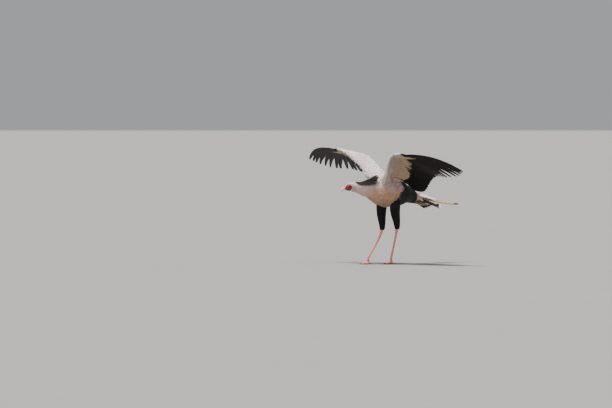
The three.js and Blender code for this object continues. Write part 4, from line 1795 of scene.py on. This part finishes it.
@dataclass
class Crest:
    """Black plumes that lie back from the nape over the neck, thin at the root and broad at the end."""

    small: Plumes
    core: Tube
    rows: tuple[tuple[float, ...], ...] = (
        (4, 0.682, 0.405, 0.025, 0.025, 46), (6, 0.677, 0.412, 0.05, 0.045, 38),
        (7, 0.672, 0.425, 0.075, 0.07, 29), (9, 0.666, 0.440, 0.10, 0.10, 21),
        (10, 0.660, 0.460, 0.125, 0.13, 14))

    def build(self, finish: bpy.types.Material) -> None:
        """Builds every plume; a row's sizes are count, ends along the core, spread at both ends, rise.

        Args:
            finish: the plumes' finish.
        """
        rng = self.small.rng
        feathers = []
        for count, start, end, narrow, wide, rise in self.rows:
            for share in np.linspace(-1, 1, count):
                stop = end + rng.uniform(0, 0.02)
                turns = 0.25 - share * narrow, 0.25 - share * (wide + rng.uniform(-0.01, 0.01))
                feathers.append(Feather(self.line((start, stop), turns, (rise + rng.uniform(-3, 3)) * MM),
                                        12 * MM, 12 * MM, 0.75, 0, 0, 0.5 * MM, 0.8 * MM, 3))
        self.small.build("crest", feathers, finish, Slots.FACE)

    def line(self, reach: tuple[float, float], turns: tuple[float, float], rise: float) -> Callable:
        """Gives a plume's midline over the neck, from its root to its tip.

        Args:
            reach: its root's and its tip's place along the core.
            turns: its root's and its tip's place round the core.
            rise: how far its tip lifts.

        Returns:
            A function of places along the plume, 0 to 1.
        """

        def follow(t: Array) -> tuple[Array, Array, Array]:
            """Goes along the plume, squeezing its first half.

            Args:
                t: places along it.

            Returns:
                Its midline, outward and upward directions.
            """
            stops = np.linspace(0, 1, 24)
            along, turn = mix(*reach, stops), mix(*turns, stops)
            outward, _ = surface_axes(self.core.point, along, turn, self.core.path(along))
            spots = self.core.point(along, turn) + outward * (2 * MM + rise * stops**1.6)[:, None]
            middle, up, ahead = (np.column_stack([np.interp(t, stops, rows[:, k]) for k in range(3)])
                                 for rows in (spots, outward, np.gradient(spots, axis=0)))
            up, ahead = unit(up), unit(ahead)
            squeeze = mix(0.35, 1.0, ramp(0.05, 0.6, t))[:, None]
            return middle, unit(np.cross(up, ahead)) * squeeze, up

        return follow


# Head and legs

@dataclass
class Face:
    """Bill, eyes, lids, lashes and the soft edge of the mouth."""

    layout: Layout
    body: Body

    def build(self, finishes: dict[str, bpy.types.Material]) -> None:
        """Builds every piece of the face.

        Args:
            finishes: the shared finishes by name.
        """
        self.bill(finishes["bill"])
        for side, name in ((1, "left"), (-1, "right")):
            self.eye(side, name, finishes["eye"])
            self.lids(side, name, finishes["lid"])
            self.lashes(side, name, finishes["lash"])
            self.gape(side, name, finishes["gape"])

    def bill(self, material: bpy.types.Material) -> None:
        """Builds both halves of the bill, with nostrils pressed into the upper one.

        Args:
            material: the finish.
        """
        path = Spline(((38, 0, 3), (56, 0, 2), (69, 0, -2), (79, 0, -10), (84, 0, -19), (84.5, 0, -25)))
        sizes = Spline(((13.5, 14.5, 7.5), (10.5, 11.5, 6), (8, 8.5, 5.5), (5.2, 5.6, 5), (2.4, 2.8, 2.8),
                        (0.7, 0.8, 0.8)))
        upper = self.tube(path, sizes)

        def upper_place(turn: Array, t: Array) -> Array:
            """Bends the upper half and presses in the nostrils and the edge of the mouth.

            Args:
                turn: places round it.
                t: places along it.

            Returns:
                Points in the layout.
            """
            p = off_head(upper.point(t, turn))
            for side in (1, -1):
                hole = np.hypot((p[:, 0] - 53) / 3.8, (p[:, 2] - 6.5 - 0.15 * (p[:, 0] - 53)) / 1.6)
                p[:, 1] -= side * 2.8 * (1 - ramp(0.55, 1.05, hole)) * (p[:, 1] * side > 2)
                fold = np.exp(-((p[:, 0] - 48.5) / 0.9)**2) * (p[:, 1] * side > 0)
                p[:, 1] -= side * 0.5 * fold
            return on_head(p)

        lower_path = Spline(((36, 0, -8), (54, 0, -7.8), (66, 0, -10), (75, 0, -13.6)))
        lower_sizes = Spline(((12, 6, 8.5), (9.2, 5.8, 6.6), (6.2, 5.4, 4.8), (1.8, 1.6, 1.5)))
        lower = self.tube(lower_path, lower_sizes)
        form("bill_top", self.layout, [(shaped(56, 80, upper_place), lengthwise)], material, Slots.BILL,
             ["bill_upper"])
        form("bill_bottom", self.layout, [(shaped(32, 40, lambda u, t: lower.point(t, u)), lengthwise)],
             material, Slots.BILL, ["bill_lower"])

    def tube(self, path: Spline, sizes: Spline) -> Tube:
        """Makes a tube whose path is given in the head's own frame."""
        moved = Spline(tuple(tuple(p / MM) for p in on_head(path.points)))
        return spline_tube(moved, sizes)

    def eye(self, side: int, name: str, material: bpy.types.Material) -> None:
        """Builds an eyeball whose pupil looks outward and a little forward.

        Args:
            side: 1 left, -1 right.
            name: left or right.
            material: the finish.
        """
        aim = unit(np.array([0.28, side, -0.04]))
        first = unit(np.cross(aim, UP))
        second = np.cross(first, aim)

        def place(turn: Array, t: Array) -> Array:
            """Goes round the eyeball from the pupil to the back.

            Args:
                turn: places round it.
                t: places from front to back.

            Returns:
                Points in the layout.
            """
            angle = np.clip(t, 0.002, 0.998) * math.pi
            bulge = 1 + 0.05 * np.exp(-(angle / 0.45)**2)
            ring = np.cos(TAU * turn)[:, None] * first + np.sin(TAU * turn)[:, None] * second
            local = np.cos(angle)[:, None] * aim + np.sin(angle)[:, None] * ring
            local = local * EYE_RADIUS * bulge[:, None]
            return on_head(local + np.array([EYE[0], side * EYE[1], EYE[2]]))

        form(f"eyeball_{name}", self.layout, [(shaped(36, 24, place), lengthwise)], material, Slots.EYE,
             [f"eye_{name}"])

    def lids(self, side: int, name: str, material: bpy.types.Material) -> None:
        """Builds the two lids as a wrinkled ring with an almond opening.

        Args:
            side: 1 left, -1 right.
            name: left or right.
            material: the finish.
        """
        def place(turn: Array, t: Array) -> Array:
            """Goes from the lid's edge on the eyeball out to the skin of the face.

            Args:
                turn: places round the eye.
                t: places from the edge outward.

            Returns:
                Points in the layout.
            """
            a = TAU * turn
            reach = mix(7.1, 14.6, t)
            x = reach * np.cos(a) * 1.06
            z = reach * np.sin(a) * np.where(np.sin(a) > 0, mix(0.74, 0.92, t), mix(0.80, 0.86, t))
            ball = np.sqrt(np.clip((EYE_RADIUS + 0.9)**2 - x * x - z * z, 4.0, None))
            face = self.body.side_at(EYE[0] + x, EYE[2] + z) - EYE[1] - 2.6
            blend = ramp(0.12, 0.85, t)
            folds = 0.28 * np.sin(t * 19 + 0.6 * np.sin(3 * a)) * ramp(0.1, 0.3, t) * (1 - t)
            edge = 0.5 * np.exp(-((t - 0.06) / 0.07)**2)
            y = mix(ball + 0.1, face, blend) + 1.3 * np.sin(np.pi * t)**1.5 + folds + edge
            return on_head(np.column_stack([EYE[0] + x, side * (EYE[1] + y), EYE[2] + z]))

        bm = shaped(56, 16, place, closed=False)
        bmesh.ops.remove_doubles(bm, verts=bm.verts, dist=1e-6)
        bmesh.ops.solidify(bm, geom=bm.faces[:], thickness=0.5 * MM)
        form(f"lids_{name}", self.layout, [(bm, lengthwise)], material, Slots.FACE)

    def lashes(self, side: int, name: str, material: bpy.types.Material) -> None:
        """Builds the long lashes of the upper lid.

        Args:
            side: 1 left, -1 right.
            name: left or right.
            material: the finish.
        """
        surfaces = []
        for k, a in enumerate(np.linspace(math.radians(24), math.radians(156), 17)):
            x, z = 7.4 * math.cos(a), 7.4 * 0.76 * math.sin(a)
            y = math.sqrt(max((EYE_RADIUS + 0.9)**2 - x * x - z * z, 1.0))
            root = np.array([EYE[0] + x, side * (EYE[1] + y), EYE[2] + z])
            size = 5.5 + 1.2 * math.sin(k * 2.1)
            end = root + np.array([0.5 * math.cos(a) * size + 0.8, side * 0.62 * size, 0.52 * size])
            middle = (root + end) / 2 + np.array([0, side * 0.8, -0.5])
            path = Spline((tuple(root), tuple(middle), tuple(end)))
            hair = self.tube(path, Spline(((0.22, 0.22, 0.22), (0.16, 0.16, 0.16), (0.05, 0.05, 0.05))))
            surfaces.append((shaped(5, 5, lambda u, t, h=hair: h.point(t, u)), lengthwise))
        form(f"lashes_{name}", self.layout, surfaces, material, Slots.FACE)

    def gape(self, side: int, name: str, material: bpy.types.Material) -> None:
        """Builds the swollen soft edges above and below the line of the mouth.

        Args:
            side: 1 left, -1 right.
            name: left or right.
            material: the finish.
        """
        surfaces = []
        for lift in (0.9, -1.1):
            spots = ((47, -5.0 + lift), (38, -6.3 + lift), (29, -7.8 + lift * 0.8), (20, -9.4 + lift * 0.3))
            path = Spline(tuple((x, side * (float(self.body.side_at(x, z)) - 2.5), z) for x, z in spots))
            lip = self.tube(path, Spline(((0.9, 0.9, 0.9), (1.3, 1.0, 1.0), (1.3, 0.9, 0.9),
                                          (0.5, 0.4, 0.4))))
            surfaces.append((shaped(10, 24, lambda u, t, s=lip: s.point(t, u)), lengthwise))
        form(f"gape_{name}", self.layout, surfaces, material, Slots.FACE)


@dataclass
class Leg:
    """Bare shank, toes and claws of one leg."""

    layout: Layout
    side: int
    name: str
    ankle: tuple[float, float, float]
    foot: tuple[float, float, float]
    turn: float
    top: float = 30
    toes: dict[str, tuple[float, float, float]] = field(default_factory=lambda: {
        "middle": (2, 74, 8.5), "inner": (-32, 54, 8), "outer": (34, 58, 8), "hind": (176, 30, 7)})

    def build(self, skin: bpy.types.Material, horn: bpy.types.Material) -> None:
        """Builds shank, toes and claws.

        Args:
            skin: the finish of leg and toes.
            horn: the finish of the claws.
        """
        ankle, foot = np.array(self.ankle, float), np.array(self.foot, float)
        knuckle = foot + np.array([0, 0, self.top])
        up = unit(ankle - knuckle)
        above = [foot + np.array([0, 0, height]) for height in (self.top + 20, self.top - 12, 5)]
        path = Spline(tuple(tuple(spot) for spot in (ankle + np.array([0, 0, 24]), ankle - up * 22,
                                                     mix(ankle, knuckle, 0.5), *above)))
        sizes = Spline(((11, 13, 12), (10, 12, 12), (7.6, 8.8, 8.8), (8.2, 9.6, 9.6), (10.6, 11.6, 11.6),
                        (13, 14, 14)))
        bone = spline_tube(path, sizes, np.array([1.0, 0, 0]))
        surfaces = [(shaped(36, 150, lambda u, t: bone.point(t, u)),
                     lambda u, t: (t * 0.31, (u - 0.25 + 0.5) % 1 - 0.5, 0 * t))]
        claws = []
        for angle, length, half in self.toes.values():
            surfaces.append(self.toe(angle, length, half))
            claws.append(self.claw(angle, length, half))
        form(f"leg_{self.name}", self.layout, surfaces, skin, Slots.LEG,
             [f"tarsus_{self.name}", f"foot_{self.name}"])
        form(f"claws_{self.name}", self.layout, claws, horn, Slots.CLAW,
             [f"claw_{self.name}_{toe}" for toe in self.toes])

    def reach(self, angle: float, length: float) -> Callable[[float, float, float], tuple]:
        """Gives points along a toe: share of its length, height, and a little beyond in millimetres.

        Args:
            angle: the toe's direction, in degrees from straight ahead to the outside.
            length: its length in millimetres.

        Returns:
            A function of the share of the length, the height and the way beyond.
        """
        heading = math.radians(self.turn + self.side * angle)
        ahead = np.array([math.cos(heading), math.sin(heading), 0])
        foot = np.array(self.foot, float)
        return lambda share, height, extra=0.0: tuple(foot + ahead * (share * length + extra)
                                                      + np.array([0, 0, height]))

    def toe(self, angle: float, length: float, half: float) -> tuple[bmesh.types.BMesh, Reading]:
        """Builds one toe with its knuckles and pads, flat underneath.

        Args:
            angle: its direction in degrees.
            length: its length in millimetres.
            half: half its width in millimetres.

        Returns:
            The surface and the reading for its finish.
        """
        at = self.reach(angle, length)
        path = Spline((at(-0.12, 14), at(0.3, 9.5), at(0.7, 7), at(1, 6)))
        sizes = Spline(((half + 2, 10, 9), (half, 8, 9), (half * 0.86, 7, 8), (half * 0.6, 5.5, 6)))
        tube = spline_tube(path, sizes)

        def place(turn: Array, t: Array) -> Array:
            """Swells the toe at its pads and rests it on the floor.

            Args:
                turn: places round it.
                t: places along it.

            Returns:
                Points in the layout.
            """
            swell = 1 + 0.07 * np.cos(TAU * 3 * t)
            middle = tube.path(t)
            p = middle + (tube.point(np.clip(t, 0, 1), turn) - middle) * swell[:, None]
            p[:, 2] = np.maximum(p[:, 2], 0.0002)
            return p

        return shaped(24, 44, place), lambda u, t: (t * length * MM * 1.1, (u - 0.25 + 0.5) % 1 - 0.5, 0 * t)

    def claw(self, angle: float, length: float, half: float) -> tuple[bmesh.types.BMesh, Reading]:
        """Builds one blunt curved claw.

        Args:
            angle: its toe's direction in degrees.
            length: its toe's length in millimetres.
            half: half its toe's width in millimetres.

        Returns:
            The surface and the reading for its finish.
        """
        at = self.reach(angle, length)
        size = half * 0.5
        path = Spline((at(0.93, 6.5), at(1, 7), at(1, 5, 9), at(1, 1.6, 16)))
        sizes = Spline(((size,) * 3, (size,) * 3, (size * 0.7,) * 3, (0.5,) * 3))
        tube = spline_tube(path, sizes)
        return shaped(16, 20, lambda u, t: tube.point(t, u)), lengthwise


# Studio

@dataclass
class Studio:
    """Floor, light and the photograph's view."""

    layout: Layout
    azimuth: float = 135
    elevation: float = 1.0
    distance: float = 40.0
    pixel: float = 8.2 * MM
    frame_px: tuple[int, int] = (612, 408)
    bird_px: tuple[int, int] = (391, 264)

    def build(self) -> None:
        """Builds camera, floor and lights."""
        a, e = math.radians(self.azimuth), math.radians(self.elevation)
        back = np.array([math.sin(a) * math.cos(e), -math.cos(a) * math.cos(e), math.sin(e)])
        right = np.array([math.cos(a), math.sin(a), 0])
        up = np.cross(back, right)
        offset = (self.bird_px[0] - self.frame_px[0] / 2, self.bird_px[1] - self.frame_px[1] / 2)
        target = self.layout.shift - right * offset[0] * self.pixel + up * offset[1] * self.pixel
        data = bpy.data.cameras.new("camera")
        data.sensor_width = 36
        data.lens = 36 * self.distance / (self.frame_px[0] * self.pixel)
        data.clip_end = 500
        camera = bpy.data.objects.new("camera", data)
        camera.location = target + back * self.distance
        camera.rotation_euler = Vector(-back).to_track_quat("-Z", "Y").to_euler()
        bpy.context.scene.collection.objects.link(camera)
        bpy.context.scene.camera = camera
        self.floor()
        self.sun("key", (0.35, -0.22, 1.5), 6.2, 14, (1.0, 0.965, 0.93))
        self.sun("fill", (0.9, 1.1, 0.7), 0.8, 60, (1.0, 0.95, 0.90))
        world = bpy.data.worlds.new("studio")
        world.use_nodes = True
        world.node_tree.nodes["Background"].inputs[0].default_value = (0.90, 0.92, 0.95, 1)
        world.node_tree.nodes["Background"].inputs[1].default_value = 0.42
        bpy.context.scene.world = world

    def floor(self) -> None:
        """Lays a wide pale floor."""
        bm = bmesh.new()
        bmesh.ops.create_grid(bm, x_segments=4, y_segments=4, size=400)
        mesh = bpy.data.meshes.new("floor")
        bm.to_mesh(mesh)
        bm.free()
        finish = PlainFinish("floor", (0.30, 0.296, 0.288), 0.9, 0.6, (0.285, 0.281, 0.273))
        mesh.materials.append(finish.make())
        piece = bpy.data.objects.new("floor", mesh)
        bpy.context.scene.collection.objects.link(piece)

    def sun(self, name: str, source: Colour, strength: float, spread: float, colour: Colour) -> None:
        """Lights everything evenly from one direction, softly by its `spread` in degrees.

        Args:
            name: the lamp's name.
            source: the direction from which it shines.
            strength: its strength.
            spread: its softness, in degrees.
            colour: its colour.
        """
        data = bpy.data.lights.new(name, "SUN")
        data.energy, data.angle, data.color = strength, math.radians(spread), colour
        lamp = bpy.data.objects.new(name, data)
        lamp.rotation_euler = Vector([-c for c in source]).to_track_quat("-Z", "Y").to_euler()
        bpy.context.scene.collection.objects.link(lamp)


def make_finishes() -> dict[str, bpy.types.Material]:
    """Makes the finishes that several pieces share.

    Returns:
        Each finish by name.
    """
    black: Colour = (0.0040, 0.0036, 0.0045)
    vanes = {
        "remex": VaneFinish("black_flight_feather", black, (0.012, 0.009, 0.008), (0.022, 0.016, 0.013),
                            mottle=0.3, roughness=0.5),
        "covert": VaneFinish("pale_covert", (0.50, 0.44, 0.43), (0.78, 0.71, 0.69), (0.20, 0.16, 0.14),
                             mottle=0.4, roughness=0.8),
        # painted shade: dark brown for the wings' pale underside coverts
        "painted_shade_lining": VaneFinish("underwing_painted_shade", (0.34, 0.23, 0.14), (0.54, 0.41, 0.28), (0.17, 0.12, 0.08),
                             mottle=0.5, roughness=0.85),
        # painted shade: dark buff-brown for the greyish white coverts under the tail
        "vent": VaneFinish("vent_covert_painted_shade", (0.26, 0.18, 0.13), (0.50, 0.39, 0.31), (0.15, 0.11, 0.08),
                           mottle=0.5, roughness=0.85),
        "rump": VaneFinish("white_rump_covert", (0.76, 0.68, 0.66), (0.92, 0.86, 0.84), (0.40, 0.33, 0.30),
                           mottle=0.4, roughness=0.8),
        "tail_outer": VaneFinish("outer_tail_feather", (0.42, 0.38, 0.36), (0.62, 0.57, 0.53),
                                 (0.10, 0.08, 0.07), band=black, band_from=0.34, band_to=0.97),
        "tail_central": VaneFinish("central_tail_feather", (0.56, 0.50, 0.49), (0.80, 0.73, 0.71),
                                   (0.12, 0.09, 0.08), band=black, band_from=0.84, band_to=0.95),
        "tail_long": VaneFinish("long_tail_feather", (0.48, 0.35, 0.22), (0.64, 0.50, 0.34),
                                (0.14, 0.10, 0.07), band=black, band_from=0.865, band_to=0.985),
        "crest": VaneFinish("crest_plume", black, (0.016, 0.013, 0.013), (0.03, 0.025, 0.025),
                            roughness=0.65),
    }
    finishes = {key: value.make() for key, value in vanes.items()}
    finishes["bill"] = HornFinish("bill_horn", (0.66, 0.69, 0.73), (0.30, 0.31, 0.35), 0.7, 1.0,
                                   cere=(0.60, 0.24, 0.15)).make()
    finishes["claw"] = HornFinish("claw_horn", (0.06, 0.05, 0.045), (0.015, 0.013, 0.012), 0.2, 0.8).make()
    finishes["leg"] = LegFinish().make()
    finishes["eye"] = EyeFinish().make()
    finishes["lid"] = PlainFinish("lid_skin", (0.20, 0.014, 0.018), 0.5, 160, (0.32, 0.05, 0.045)).make()
    finishes["gape"] = PlainFinish("gape_skin", (0.34, 0.055, 0.045), 0.45, 160, (0.26, 0.03, 0.03)).make()
    finishes["lash"] = PlainFinish("lash", (0.012, 0.010, 0.010), 0.5).make()
    return finishes


def main() -> None:
    """Builds the bird over its frame and the studio round it."""
    logging.basicConfig(level=logging.INFO, format="%(name)s: %(message)s")
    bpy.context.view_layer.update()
    rng = np.random.default_rng(SEED)
    layout = Layout()
    Studio(layout).build()
    finishes = make_finishes()
    plumage = PlumageFinish().make(layout.shift)
    body = Body(layout)
    shapes = [WingShape(1), WingShape(-1)]
    skin = body.build(plumage, shapes)
    barber = Barber(layout, SkinMap(skin), rng)
    coat = BodyCoat(body, shapes, barber)
    torso, head, shanks, arms = coat.torso(), coat.head(), coat.shanks(), coat.arms()
    body.mark(skin, joined((torso, head, shanks, arms)))
    for stand, names, places, cuts, slot in (
            (torso, ("rump", "belly", "breast", "throat", "neck"), torso.roots[:, 0],
             (-0.13, 0.04, 0.19, 0.28), Slots.GREY),
            (head, ("head_right", "head_left"), off_head(head.roots)[:, 1], (0,), Slots.GREY),
            (shanks, ("shank_right", "shank_left"), shanks.roots[:, 1], (0,), Slots.THIGH),
            (arms, ("wing_right", "wing_left"), arms.roots[:, 1], (0,), Slots.WING)):
        for name, part in parted(stand, names, places, cuts):
            barber.grow(f"coat_{name}", part, plumage, slot)
    large, small = Plumes(layout, rng, 44), Plumes(layout, rng, 14)
    for shape, name in zip(shapes, ("left", "right")):
        Wing(shape, large, small, name).build(finishes)
    Tail(large, small).build(finishes)
    Crest(Plumes(layout, rng, 20), body.core()).build(finishes["crest"])
    Face(layout, body).build(finishes)
    Leg(layout, 1, "left", (-10, 60, 300), (10, 12, 0), 4).build(finishes["leg"], finishes["claw"])
    Leg(layout, -1, "right", (40, -62, 276), (188, -78, 0), -8).build(finishes["leg"], finishes["claw"])


if __name__ == "__main__":
    main()
